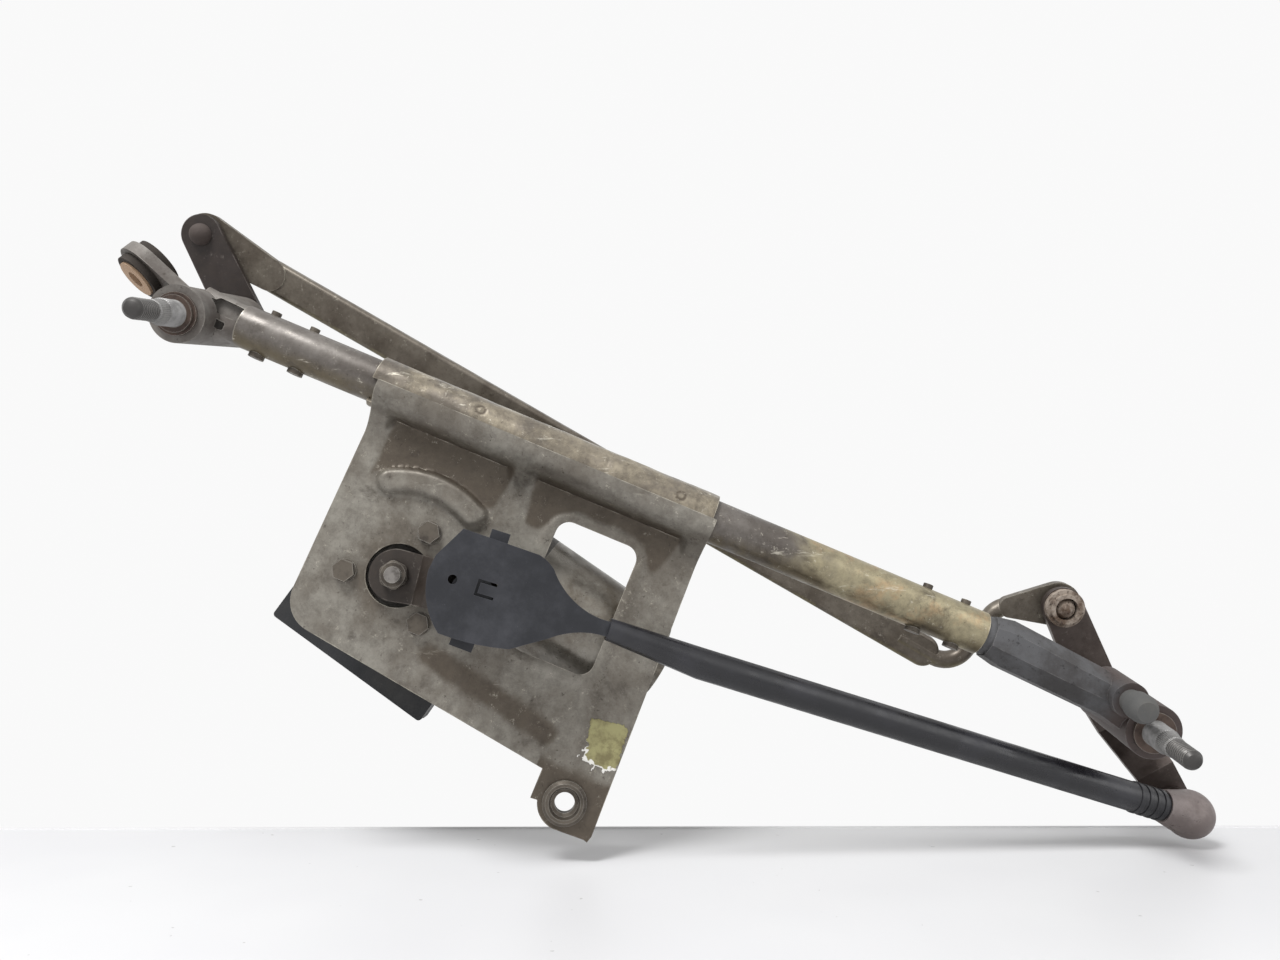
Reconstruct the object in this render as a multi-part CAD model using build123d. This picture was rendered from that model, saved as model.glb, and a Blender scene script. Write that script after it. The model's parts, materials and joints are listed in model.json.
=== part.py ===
# Windshield wiper motor with its twin-spindle linkage, at rest in the parked position.
# Units are millimetres. The origin is the centre of the lower fixing bore, on the bracket's
# middle plane. +X runs to the right along the car, +Z is up and -Y faces the spindle tips.
# Every piece is drawn in the bracket's own layout, where the cross tube lies along X, and is
# turned once by the fall of the tube when it is written.
from build123d import *
import os
from math import atan2, cos, degrees, pi, radians, sin, sqrt

# Layout of the frame
tilt = 22.4
rake = 14.0
tube_od = 22.0
tube_wall = 2.0
tube_length = 404.0
tube_left = -241.0
tube_rise = 156.0
tube_forward = 6.0

# Pressed bracket
plate_thickness = 2.5
plate_left = -165.0
plate_right = 18.5
foot_left_rise = 31.0
foot_right_rise = 11.0
plate_corner = 17.0
tab_left = -16.5
tab_round = 13.5
tip_drop = 14.0
plate_lean = 2.5
wrap_end_gap = 3.0
wrap_right = 14.0
window_left = -56.0
window_right = -12.5
window_bottom = 59.5
window_top_gap = 27.5
window_corner = 7.0
recess_depth = 4.0
recess_top_gap = 13.0
recess_corner = 1.5
rim_width = 14.0
rib_right = -81.0
rib_width = 12.0
web_foot = 30.0
bean_radius = 48.0
bean_width = 15.0
bean_height = 5.0
bean_start = 62.0
bean_sweep = 56.0
groove_width = 14.0
groove_depth = 3.0

# Tube pins
pin_diameter = 5.0
pin_stand = 2.0
pin_head = 8.0
left_pin_places = (12.0, 33.0)
right_pin_places = (12.0, 33.0)
spigot_length = 42.0

# Spindles and their housings
left_spindle_x = -263.0
left_spindle_rise = 151.7
right_spindle_x = 257.0
right_spindle_rise = 145.2
spindle_diameter = 13.0
spindle_running_gap = 0.04
bush_wall = 2.5
bush_length = 14.0
boss_diameter = 28.0
left_boss_front = 24.0
right_boss_front = 12.0
boss_back = 47.0
left_spindle_reach = 64.0
right_spindle_reach = 50.0
thread_diameter = 10.0
thread_length = 17.0
knurl_diameter = 12.0
knurl_length = 8.0
ring_thickness = 1.2
ring_diameter = 21.0

# Levers
lever_thickness = 4.0
lever_back = 54.0
lever_width = 22.0
upper_arm = 53.0
upper_arm_angle = -47.2
lower_arm = 61.0
lower_arm_angle = 126.4
lower_ball_back = 10.5
lever_joggle = 22.0
rivet_diameter = 12.0

# Cross link
link_gap = 1.5
link_plate = 4.5
link_bar_depth = 9.0
link_bar_width = 18.0
link_bar_start = (1.8, 29.7)
link_bar_end = (423.5, -24.6)
link_bend_diameter = 10.0
eye_diameter = 25.0

# Motor and crank
shaft_left = -120.0
shaft_drop = 85.5
shaft_rise = tube_rise - shaft_drop
shaft_hole = 32.0
shaft_diameter = 12.0
bolt_circle = 52.6
bolt_phase = 77.0
bolt_count = 3
bolt_diameter = 6.0
bolt_head_flats = 10.0
bolt_head_height = 4.0
crank_radius = 41.0
crank_angle = 10.0
crank_ball_forward = 33.0
crank_hub_diameter = 26.0
crank_hub_back = 3.0
crank_thickness = 5.0
crank_joggle = 8.0
crank_end_diameter = 22.0
nut_flats = 13.0
nut_height = 6.5
shaft_thread = 8.0
motor_turn = 12.0
worm_offset = 30.0
motor_depth = 34.5
yoke_diameter = 62.0
yoke_wall = 2.0
yoke_start = 55.0
yoke_length = 77.0
magnet_thickness = 6.0
air_gap = 1.5
core_room = 41.0
core_length = yoke_length - core_room
bearing_radius = 8.0
armature_shaft_radius = 4.0
commutator_radius = 12.0
brush_length = 10.0
case_radius = 33.0
case_wall = 3.0
case_front = 10.0
case_back = 49.5
wheel_teeth = 50
wheel_radius = 24.4
wheel_width = 10.0
tunnel_radius = 14.0
lid_left = -48.0
lid_right = 48.5
lid_bottom = -57.0
lid_top = 33.0
lid_depth = 11.0
lid_wall = 2.5

# Drive rod
ball_diameter = 12.0
lower_ball_diameter = 15.0
sleeve_diameter = 15.4
sleeve_start = 67.0
sleeve_taper_end = 115.0
sleeve_tip_diameter = 10.8
sleeve_lift = 2.7
crimp_start = 356.0
crimp_pitch = 4.6
crimp_count = 4
crimp_stand = 0.5
rod_diameter = 9.0
rod_start = 12.0
neck_diameter = 5.0
bulb_diameter = 25.0
cover_wall = 1.8
cover_left = 21.8
cover_top = 27.2
cover_flat = 24.5
cover_bottom = 21.5
cover_neck = 3.6
cover_back = 16.0
cover_front = 9.5
cover_edge_forward = 20.0
stud_clearance = 0.3

# Fixings
fixing_bore = 10.0
fixing_ring = 22.0
bush_back = 4.0
bush_foot = 1.0
grommet_bore = 8.4
grommet_diameter = 24.0
ear_thickness = 6.0
locating_pin_diameter = 14.0

# Layout planes
FACE = Plane.XZ


def unit(angle):
    """Direction in a layout plane, with the angle in degrees clockwise from straight up."""
    return sin(radians(angle)), cos(radians(angle))


def spindle_plane(x, rise):
    """Plane across a spindle: X along the tube, Y up the raked plane, Z out of the thread."""
    lean = radians(rake)
    return Plane(origin=(x, -tube_forward, rise), x_dir=(1, 0, 0), z_dir=(0, -cos(lean), -sin(lean)))


LEFT = spindle_plane(left_spindle_x, left_spindle_rise)
RIGHT = spindle_plane(right_spindle_x, right_spindle_rise)
MOTOR = Plane(
    origin=(shaft_left, 0, shaft_rise),
    x_dir=(cos(radians(motor_turn)), 0, -sin(radians(motor_turn))),
    z_dir=(0, -1, 0),
)
tube_right = tube_left + tube_length
wrap_left = plate_left - wrap_end_gap
window_top = tube_rise - window_top_gap
upper_ball = (upper_arm * unit(upper_arm_angle)[0], upper_arm * unit(upper_arm_angle)[1])
lower_ball = (lower_arm * unit(lower_arm_angle)[0], lower_arm * unit(lower_arm_angle)[1])
crank_ball = Vector(
    shaft_left + crank_radius * cos(radians(crank_angle)),
    -crank_ball_forward,
    shaft_rise + crank_radius * sin(radians(crank_angle)),
)
lever_ball = RIGHT.from_local_coords(Vector(lower_ball[0], lower_ball[1], -lower_ball_back))
rod_line = lever_ball - crank_ball
rod_length = rod_line.length
rod_direction = rod_line.normalized()
forward = Vector(0, -1, 0)
ROD = Plane(
    origin=crank_ball,
    x_dir=rod_direction,
    z_dir=(forward - rod_direction * forward.dot(rod_direction)).normalized(),
)


def prism(plane, profile, back, front):
    """Straight prism between two distances along the plane's normal."""
    return extrude(plane.offset(back) * profile, amount=front - back)


def disc(plane, x, y, radius, back, front):
    return prism(plane, Pos(x, y) * Circle(radius), back, front)


def ring(plane, x, y, outer, inner, back, front):
    return prism(plane, Pos(x, y) * (Circle(outer) - Circle(inner)), back, front)


def pressed(plane, wide, narrow, start, end):
    return loft([(plane.offset(start) * wide).face(), (plane.offset(end) * narrow).face()], ruled=True)


def hull(*circles):
    """Outline round a row of circles, each given as x, y and radius."""
    edges = [(Pos(x, y) * Circle(r)).edge() for x, y, r in circles]
    return make_hull(edges)


def polygon(*points):
    return make_face(Polyline(*points, close=True))


def bent(plane, outline, heading, side, depth_low, depth_high):
    """Plate cut to an outline and bent to a side profile drawn along the heading."""
    across = 60.0
    along = plane.x_dir * heading[0] + plane.y_dir * heading[1]
    wall = Plane(origin=plane.origin, x_dir=along, z_dir=along.cross(plane.z_dir))
    strip = extrude(wall * side, amount=across, both=True)
    return prism(plane, outline, depth_low, depth_high) & strip


def cylinder_between(start, end, radius):
    line = Vector(*end) - Vector(*start)
    return extrude(Plane(origin=start, z_dir=line) * Circle(radius), amount=line.length)


def hexagon(flats):
    return RegularPolygon(flats / 2, 6, major_radius=False)


# Pressed bracket with its wrap round the tube

def bracket_outline():
    foot_slope = (foot_right_rise - foot_left_rise) / (tab_left - plate_left)
    outline = polygon(
        (plate_left, tube_rise),
        (plate_left, foot_left_rise),
        (tab_left, foot_left_rise + foot_slope * (tab_left - plate_left)),
        (tab_left, -tab_round / 2),
        (-tab_round * 0.7, -tab_round * 0.8),
        (tab_round * 0.5, -tab_round * 0.85),
        (plate_right - 1.0, -tip_drop),
        (plate_right, 0),
        (plate_right - plate_lean, tube_rise),
    )
    corner = outline.vertices().sort_by(Axis.X)[0:2].sort_by(Axis.Y)[0]
    return fillet(corner, plate_corner) + Circle(tab_round)


def window_profile():
    width = window_right - window_left
    height = window_top - window_bottom
    centre = Pos((window_left + window_right) / 2, (window_bottom + window_top) / 2)
    return centre * RectangleRounded(width, height, window_corner)


def left_recess(grow):
    """Area under the tube, between the left rim, the middle rib and the bead, with a margin."""
    top = tube_rise - recess_top_gap + grow
    left = plate_left + rim_width - grow
    right = rib_right - rib_width + grow
    shape = polygon((left, top), (right, top), (right - 8, shaft_rise), (left, shaft_rise))
    shape -= Pos(shaft_left, shaft_rise) * Circle(bean_radius + bean_width / 2 + 1.5 - grow)
    upper = shape.faces().sort_by(Axis.Y)[-1]
    return fillet(upper.vertices(), recess_corner)


def right_recess(grow):
    """Area over the window, with a lobe down each side of it, with a margin."""
    top = tube_rise - recess_top_gap + grow
    lobe = window_top - 11 - grow
    middle = window_top + 4 - grow
    shape = polygon(
        (rib_right - grow, top),
        (plate_right - rim_width + 4 + grow, top),
        (window_right + 19 + grow, lobe),
        (window_right + 10 - grow, lobe),
        (window_right + 4 - grow, middle),
        (window_left - 2 + grow, middle),
        (window_left - 10 + grow, lobe),
        (rib_right + 6 - grow, lobe),
    )
    return fillet(shape.vertices(), recess_corner)


def rim_web(left, right):
    """Where the sheet runs up over the tube instead of being pressed back."""
    top_forward = tube_forward + tube_od / 2 + plate_thickness
    side = polygon(
        (0, tube_rise - tube_od / 2 - web_foot * 0.6),
        (plate_thickness / 2, tube_rise - tube_od / 2 - web_foot * 0.6),
        (top_forward - 1.0, tube_rise - 4.0),
        (top_forward - 4.0, tube_rise),
        (0, tube_rise),
    )
    side_plane = Plane(origin=(right, 0, 0), x_dir=(0, -1, 0), z_dir=(-1, 0, 0))
    return extrude(side_plane * side, amount=right - left)


def bracket_plate():
    half = plate_thickness / 2
    body = prism(FACE, bracket_outline(), -half, half)
    wrap_radius = tube_od / 2 + plate_thickness
    body += cylinder_between(tube_point(wrap_left), tube_point(wrap_right), wrap_radius)
    for left, right in (
        (plate_left, plate_left + rim_width),
        (rib_right - rib_width, rib_right),
        (wrap_right - rim_width + 6, wrap_right),
    ):
        body += rim_web(left, right)
    for recess, ramp in ((left_recess, 5.0), (right_recess, 2.5)):
        rear_edge, edge, rear_floor, floor = (recess(grow) for grow in (2.0, 0.0, 2.0 - ramp, -ramp))
        body += pressed(FACE, rear_edge, rear_floor, -half + 0.5, -half - recess_depth)
        body -= pressed(FACE, edge, floor, half, half - recess_depth)
    bean_arc = CenterArc((shaft_left, shaft_rise), bean_radius, bean_start, bean_sweep)
    shares = (1.0, 0.78, 0.42, 0.2)
    foot, shoulder, crown, hollow = (SlotArc(bean_arc, bean_width * share) for share in shares)
    body += pressed(FACE, foot, shoulder, half - 0.5, half + bean_height * 0.6)
    body += pressed(FACE, shoulder, crown, half + bean_height * 0.6, half + bean_height)
    body -= pressed(FACE, shoulder, hollow, -half, half + bean_height - plate_thickness)
    groove_line = Line(
        (shaft_left + 30, foot_left_rise + 8.5), (tab_left - 6, foot_right_rise + 15)
    )
    run = groove_line @ 1 - groove_line @ 0
    middle_of_groove = groove_line @ 0.5
    turn = Pos(middle_of_groove.X, middle_of_groove.Y) * Rot(0, 0, degrees(atan2(run.Y, run.X)))
    rear_edge, edge, rear_floor, floor = (
        turn * SlotCenterToCenter(run.length, groove_width * share) for share in (1.1, 1.0, 0.5, 0.4)
    )
    body += pressed(FACE, rear_edge, rear_floor, -half + 0.5, -half - groove_depth)
    body -= pressed(FACE, edge, floor, half, half - groove_depth)
    body -= prism(FACE, window_profile(), -40, 40)
    body -= disc(FACE, shaft_left, shaft_rise, shaft_hole / 2, -40, 40)
    for place in bolt_places():
        body -= disc(FACE, place[0], place[1], bolt_diameter / 2 + 0.3, -10, 10)
    body -= disc(FACE, 0, 0, fixing_ring / 2 - 3.0, -10, 10)
    return body - cylinder_between(tube_point(wrap_left - 1), tube_point(plate_right + 1), tube_od / 2)


def bolt_places():
    step = 360 / bolt_count
    radius = bolt_circle / 2
    return [
        (
            shaft_left + radius * cos(radians(bolt_phase + step * i)),
            shaft_rise + radius * sin(radians(bolt_phase + step * i)),
        )
        for i in range(bolt_count)
    ]


# Cross tube and the pins that hold the housings in it

def tube_point(x):
    return (x, -tube_forward, tube_rise)


def pin_places():
    left = [tube_left + p for p in left_pin_places]
    right = [tube_right - p for p in right_pin_places]
    return left + right


def pin_holes(shape):
    for x in pin_places():
        upward = Plane(origin=(x, -tube_forward, tube_rise - tube_od), z_dir=(0, 0, 1))
        hole = upward * Circle(pin_diameter / 2)
        shape -= extrude(hole, amount=2 * tube_od)
    return shape


def cross_tube():
    outer = cylinder_between(tube_point(tube_left), tube_point(tube_right), tube_od / 2)
    bore = cylinder_between(tube_point(tube_left - 1), tube_point(tube_right + 1), tube_od / 2 - tube_wall)
    return pin_holes(outer - bore)


def tube_pins():
    pins = []
    for x in pin_places():
        half = tube_od / 2
        shank = cylinder_between(
            (x, -tube_forward, tube_rise - half - pin_stand),
            (x, -tube_forward, tube_rise + half + pin_stand),
            pin_diameter / 2,
        )
        head_cut = cylinder_between(tube_point(x - pin_head), tube_point(x + pin_head), half)
        low = (x, -tube_forward, tube_rise - half - pin_stand)
        high = (x, -tube_forward, tube_rise - half + 1)
        head = cylinder_between(low, high, pin_head / 2)
        pins.append(shank + (head - head_cut))
    return Compound(pins)


# Spindle housings

def spigot_radius():
    return tube_od / 2 - tube_wall


def boss(plane, front):
    return disc(plane, 0, 0, boss_diameter / 2, -boss_back, front)


def boss_bore(plane, front):
    radius = spindle_diameter / 2 + bush_wall
    return disc(plane, 0, 0, radius, -boss_back - 1, front + 1)


def ring_space(plane, front):
    """Room for the retaining rings in front of a boss."""
    return disc(plane, 0, 0, ring_diameter / 2 + 1.0, front, front + 30)


def spindle_bushes(plane, boss_front):
    outer = spindle_diameter / 2 + bush_wall
    inner = spindle_diameter / 2 + spindle_running_gap
    front = ring(plane, 0, 0, outer, inner, boss_front - bush_length, boss_front)
    back = ring(plane, 0, 0, outer, inner, -boss_back, -boss_back + bush_length)
    return Compound([front, back])


def rounded_section(x, low, high, depth, corner, middle=-tube_forward):
    plane = Plane(origin=(x, middle, (low + high) / 2), x_dir=(0, -1, 0), z_dir=(1, 0, 0))
    return plane * RectangleRounded(depth, high - low, corner)


def faceted_section(x, low, high, depth, chamfer_size):
    plane = Plane(origin=(x, -tube_forward, (low + high) / 2), x_dir=(0, -1, 0), z_dir=(1, 0, 0))
    section = Rectangle(depth, high - low)
    return plane * chamfer(section.vertices(), chamfer_size)


def ear_plane():
    """Plane of the left fixing lug, whose grommet looks down, left and a little forward."""
    centre = (left_spindle_x - 27.5, -18.0, left_spindle_rise + 10.5)
    return Plane(origin=centre, x_dir=(1, 0, -0.25), z_dir=(-0.26, -0.33, -0.91))


EAR = ear_plane()


def left_pivot_housing():
    end = tube_left
    body = cylinder_between(tube_point(end + spigot_length), tube_point(end), spigot_radius())
    neck = [
        rounded_section(end, tube_rise - 10, tube_rise + 10, 20, 8).face(),
        rounded_section(end - 5, tube_rise - 10.5, tube_rise + 9.5, 20, 5).face(),
        rounded_section(left_spindle_x, left_spindle_rise - 13, left_spindle_rise + 15.5, 16, 5).face(),
    ]
    body += loft(neck, ruled=True)
    body += boss(LEFT, left_boss_front)
    lug_root = EAR.to_local_coords(Vector(left_spindle_x - 2, -14.0, left_spindle_rise + 9))
    lug = hull((0, 0, grommet_diameter / 2 + 2.5), (lug_root.X, lug_root.Y, 11))
    body += prism(EAR, lug, -ear_thickness / 2, ear_thickness / 2)
    body -= disc(EAR, 0, 0, grommet_diameter / 2 - 3.5, -20, 20)
    pocket = fillet(polygon((-15, 3), (14, 3), (14, 10), (-6, 11)).vertices(), 1.5)
    pocket_plane = Plane(origin=(end - 14, -tube_forward - 13, tube_rise), x_dir=(1, 0, 0), z_dir=(0, -1, 0))
    body -= extrude(pocket_plane * Pos(7, -3.5) * pocket, amount=-7)
    lower = fillet(polygon((-14, -3), (9, -3), (9, -7), (-9, -8)).vertices(), 1.2)
    body -= extrude(pocket_plane * Pos(0, -0.5) * lower, amount=-7)
    body -= boss_bore(LEFT, left_boss_front) + ring_space(LEFT, left_boss_front)
    return pin_holes(body)


def right_pivot_housing():
    end = tube_right
    rise = right_spindle_rise
    body = cylinder_between(tube_point(end - spigot_length), tube_point(end), spigot_radius())
    body += cylinder_between(tube_point(end), tube_point(end + 6), tube_od / 2 - 1)
    neck = [
        faceted_section(end + 4, tube_rise - 10.5, tube_rise + 10.5, 21, 6).face(),
        faceted_section(end + 13, tube_rise - 12.5, tube_rise + 12, 24, 7).face(),
        faceted_section(right_spindle_x - 25, rise - 4.5, rise + 17.5, 24, 7).face(),
        faceted_section(right_spindle_x, rise - 10, rise + 12, 17, 5).face(),
    ]
    body += loft(neck, ruled=True)
    body += boss(RIGHT, right_boss_front)
    px, py = locating_pin_place()
    body += disc(RIGHT, px, py, 9.0, -12, 16)
    body -= boss_bore(RIGHT, right_boss_front) + ring_space(RIGHT, right_boss_front)
    body -= disc(RIGHT, px, py, locating_pin_diameter / 2 - 2.5, -6, 17)
    return pin_holes(body)


def locating_pin_place():
    return -19.5, 10.5


def right_locating_pin():
    """Rubber dome that plugs into a hole of the car body, on a stem in its boss."""
    px, py = locating_pin_place()
    radius = locating_pin_diameter / 2
    stem = disc(RIGHT, px, py, radius - 2.5, -6, 17)
    collar = disc(RIGHT, px, py, radius - 1.2, 16, 22)
    head = disc(RIGHT, px, py, radius, 22, 28)
    dome = RIGHT * Pos(px, py, 28) * Sphere(radius)
    keep = disc(RIGHT, px, py, radius + 1, 27.9, 33)
    return stem + collar + head + (dome & keep)


def left_grommet():
    inner = grommet_bore / 2 + 2.0
    outer = grommet_diameter / 2
    half = ear_thickness / 2
    body = disc(EAR, 0, 0, outer - 3.5, -half - 4, half + 4)
    body += disc(EAR, 0, 0, outer, half, half + 4)
    body += disc(EAR, 0, 0, outer, -half - 4, -half)
    return body - disc(EAR, 0, 0, inner, -20, 20)


def left_grommet_sleeve():
    half = ear_thickness / 2 + 4
    body = ring(EAR, 0, 0, grommet_bore / 2 + 2.0, grommet_bore / 2, -half, half)
    return body + ring(EAR, 0, 0, grommet_diameter / 2 - 2.5, grommet_bore / 2, half, half + 1.2)


def lower_fixing_bush():
    """Dished steel washer pressed into the tab, with a bolt bore at its foot."""
    half = plate_thickness / 2
    outer = fixing_ring / 2
    seat = outer - 3.0
    bore = fixing_bore / 2
    profile = Polyline(
        (bore, -bush_back),
        (seat, -bush_back),
        (seat, half),
        (outer, half),
        (outer, half + 2.2),
        (outer - 1.6, half + 3.4),
        (outer - 3.2, half + 3.2),
        (bore + 1.8, bush_foot + 0.6),
        (bore, bush_foot),
        close=True,
    )
    side = Plane(origin=(0, 0, 0), x_dir=(1, 0, 0), z_dir=(0, 0, -1))
    return revolve(side * make_face(profile), Axis((0, 0, 0), (0, 1, 0)))


# Spindles, levers and their rings

def spindle(plane, reach):
    r = spindle_diameter / 2
    knurl_end = reach - thread_length
    knurl_start = knurl_end - knurl_length
    profile = Polyline(
        (0, -lever_back - 1.2),
        (r - 2.0, -lever_back - 1.2),
        (r - 2.0, -lever_back + lever_thickness),
        (r, -lever_back + lever_thickness),
        (r, knurl_start),
        (knurl_diameter / 2, knurl_start + 0.5),
        (thread_diameter / 2 + 0.3, knurl_end),
        (thread_diameter / 2, knurl_end),
        (thread_diameter / 2, reach - 1.5),
        (thread_diameter / 2 - 1.5, reach),
        (0, reach),
        close=True,
    )
    side = Plane(origin=plane.origin, x_dir=plane.x_dir, z_dir=plane.x_dir.cross(plane.z_dir))
    return revolve(side * make_face(profile), Axis(plane.origin, plane.z_dir))


def upper_rivet(plane):
    """Ball stud of the upper pivot: domed head in front of the lever, shank through both eyes."""
    x, y = upper_ball
    front = -lever_back + lever_thickness
    back = -lever_back - link_gap - link_plate
    shank = disc(plane, x, y, rivet_diameter / 2 - 1.5, back - 2.0, front)
    head = plane * Pos(x, y, front) * Sphere(rivet_diameter / 2)
    head &= disc(plane, x, y, rivet_diameter, front, front + rivet_diameter)
    return shank + head


def spindle_hole(plane):
    return disc(plane, 0, 0, spindle_diameter / 2 - 2.0, -lever_back - 5, -lever_back + lever_thickness + 1)


def upper_hole(plane):
    x, y = upper_ball
    return disc(plane, x, y, rivet_diameter / 2 - 1.5, -lever_back - 5, -lever_back + lever_thickness + 1)


def left_lever():
    x, y = upper_ball
    outline = hull((0, 0, lever_width / 2 + 1), (x, y, lever_width / 2))
    body = prism(LEFT, outline, -lever_back, -lever_back + lever_thickness)
    return body - spindle_hole(LEFT) - upper_hole(LEFT)


def lever_side():
    """Side view of the lower arm, which steps forward to meet the drive rod."""
    back = -lever_back
    near = lever_width
    far = near + lever_joggle
    end = lower_arm + lever_width
    t = lever_thickness
    return polygon(
        (-lever_width, back),
        (near, back),
        (far, back + lever_joggle),
        (end, back + lever_joggle),
        (end, back + lever_joggle + t),
        (far - t * 0.41, back + lever_joggle + t),
        (near - t * 0.41, back + t),
        (-lever_width, back + t),
    )


def right_lever():
    x, y = upper_ball
    lx, ly = lower_ball
    upper = prism(
        RIGHT,
        hull((0, 0, lever_width / 2 + 1), (x, y, lever_width / 2)),
        -lever_back,
        -lever_back + lever_thickness,
    )
    outline = hull((0, 0, lever_width / 2 + 1), (lx, ly, lever_width / 2 - 1))
    front = -lever_back + lever_joggle + lever_thickness
    lower = bent(RIGHT, outline, unit(lower_arm_angle), lever_side(), -lever_back, front)
    return upper + lower - spindle_hole(RIGHT) - upper_hole(RIGHT)


def upper_cup():
    """Pressed cup over the right upper ball, in front of the lever."""
    x, y = upper_ball
    front = -lever_back + lever_thickness
    outer = lever_width / 2 - 0.5
    cup = ring(RIGHT, x, y, outer, rivet_diameter / 2 + 0.2, front, front + 3.5)
    return cup + ring(RIGHT, x, y, outer - 2.2, rivet_diameter / 2 + 0.2, front + 3.5, front + 5.5)


def retaining_rings(plane, boss_front, count):
    outer = ring_diameter / 2
    inner = spindle_diameter / 2
    rings = []
    for i in range(count):
        low = boss_front + 0.3 + i * (ring_thickness + 0.6)
        rings.append(ring(plane, 0, 0, outer - i * 1.5, inner, low, low + ring_thickness))
    return Compound(rings)


def spindle_shim(plane):
    """Thrust washer between the back of the housing and the lever."""
    high = -boss_back - 0.3
    low = -lever_back + lever_thickness
    return ring(plane, 0, 0, 11.0, spindle_diameter / 2, low, high)


# Cross link

def cross_link():
    back = -lever_back - link_gap - link_plate
    x, y = upper_ball
    span = right_spindle_x - left_spindle_x
    drop = RIGHT.origin - LEFT.origin
    far = (span + x, drop.dot(LEFT.y_dir) + y)
    eye = eye_diameter / 2
    bar_middle = back - 0.5
    start = Vector(*link_bar_start)
    end = Vector(*link_bar_end)
    line = end - start
    middle = (start + end) / 2
    angle = degrees(atan2(line.Y, line.X))
    bar = Pos(middle.X, middle.Y) * Rot(0, 0, angle) * SlotCenterToCenter(line.length, link_bar_width)
    half = link_bar_depth / 2
    body = fillet(prism(LEFT, bar, bar_middle - half, bar_middle + half).edges(), 2.5)
    neck = hull((x, y, eye), (start.X, start.Y, link_bar_width / 2))
    body += prism(LEFT, neck, back, back + link_plate)
    bend = [
        LEFT.from_local_coords(Vector(end.X - 16, end.Y + 2, bar_middle)),
        LEFT.from_local_coords(Vector(end.X + 20, end.Y - 3, bar_middle)),
        LEFT.from_local_coords(Vector(far[0] - 29, far[1] - 15, bar_middle)),
        LEFT.from_local_coords(Vector(far[0] - 8, far[1] - 4, bar_middle)),
    ]
    path = FilletPolyline(*bend, radius=14)
    section = Plane(origin=path @ 0, z_dir=path % 0) * Circle(link_bend_diameter / 2)
    body += sweep(section, path=path)
    tail = hull((far[0], far[1], eye), (far[0] - 24, far[1] - 12, link_bend_diameter / 2 + 1))
    body += prism(LEFT, tail, back, back + link_plate)
    for px, py in ((x, y), far):
        body -= disc(LEFT, px, py, rivet_diameter / 2, back - 12, back + 12)
    return body


def link_bearings():
    """Plastic bearing rings in the two eyes of the cross link."""
    back = -lever_back - link_gap - link_plate
    x, y = upper_ball
    drop = (RIGHT.origin - LEFT.origin)
    far = (right_spindle_x - left_spindle_x + x, drop.dot(LEFT.y_dir) + y)
    inner = rivet_diameter / 2 - 1.5 + spindle_running_gap
    return Compound([
        ring(LEFT, px, py, rivet_diameter / 2, inner, back, back + link_plate) for px, py in ((x, y), far)
    ])


# Motor

def worm_line(m, n=0.0, forward_of=0.0):
    """Point on the motor's axis, m along it from the output shaft."""
    return MOTOR.from_local_coords(Vector(m, worm_offset + n, -motor_depth + forward_of))


def along_motor(start, end, radius, n=0.0):
    return cylinder_between(worm_line(start, n), worm_line(end, n), radius)


def gear_housing():
    body = disc(MOTOR, 0, 0, case_radius, -case_back, -case_front)
    body += disc(MOTOR, 0, 0, crank_hub_diameter / 2 - 0.5, -case_front, plate_thickness / 2)
    body += along_motor(-worm_offset - 12, yoke_start - 6, tunnel_radius)
    body += along_motor(yoke_start - 6, yoke_start, yoke_diameter / 2)
    step = 360 / bolt_count
    for i in range(bolt_count):
        angle = radians(bolt_phase + motor_turn + step * i)
        x, y = bolt_circle / 2 * cos(angle), bolt_circle / 2 * sin(angle)
        body += disc(MOTOR, x, y, 7.0, -case_front - 2, -plate_thickness / 2)
        body -= disc(MOTOR, x, y, bolt_diameter / 2, -case_front - 8, 0)
    wheel_back = case_back + 1
    body -= disc(MOTOR, 0, 0, case_radius - case_wall - 3, -wheel_back, -motor_depth + wheel_width / 2 + 1.5)
    body -= along_motor(-worm_offset - 6, yoke_start + 1, tunnel_radius - 4.5)
    body -= along_motor(yoke_start - 3, yoke_start + 1, yoke_diameter / 2 - 4)
    body -= disc(MOTOR, 0, 0, shaft_diameter / 2 + bush_wall, -wheel_back, 10)
    for side in (-1, 1):
        body -= along_motor(yoke_start - 7, yoke_start + 1, 2.0, side * (yoke_diameter / 2 - 4.5))
    for x, y in lid_screws():
        body -= disc(MOTOR, x, y, 2.0, -case_back - 1, -case_back + 3)
    return body


def output_bush():
    inner = shaft_diameter / 2 + spindle_running_gap
    top = plate_thickness / 2
    return ring(MOTOR, 0, 0, shaft_diameter / 2 + bush_wall, inner, -motor_depth + wheel_width / 2 + 1.5, top)


def lid_outline(grow=0.0):
    outline = polygon(
        (lid_left - grow, lid_bottom - grow),
        (15, lid_bottom - grow),
        (15, lid_bottom - 2 - grow),
        (lid_right + grow, lid_bottom - 2 - grow),
        (lid_right + grow, 6 + grow),
        (case_radius + grow, lid_top + grow),
        (lid_left + 14 - grow, lid_top + grow),
        (lid_left - grow, lid_top - 16 + grow),
    )
    return fillet(outline.vertices(), 0.9)


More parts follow.
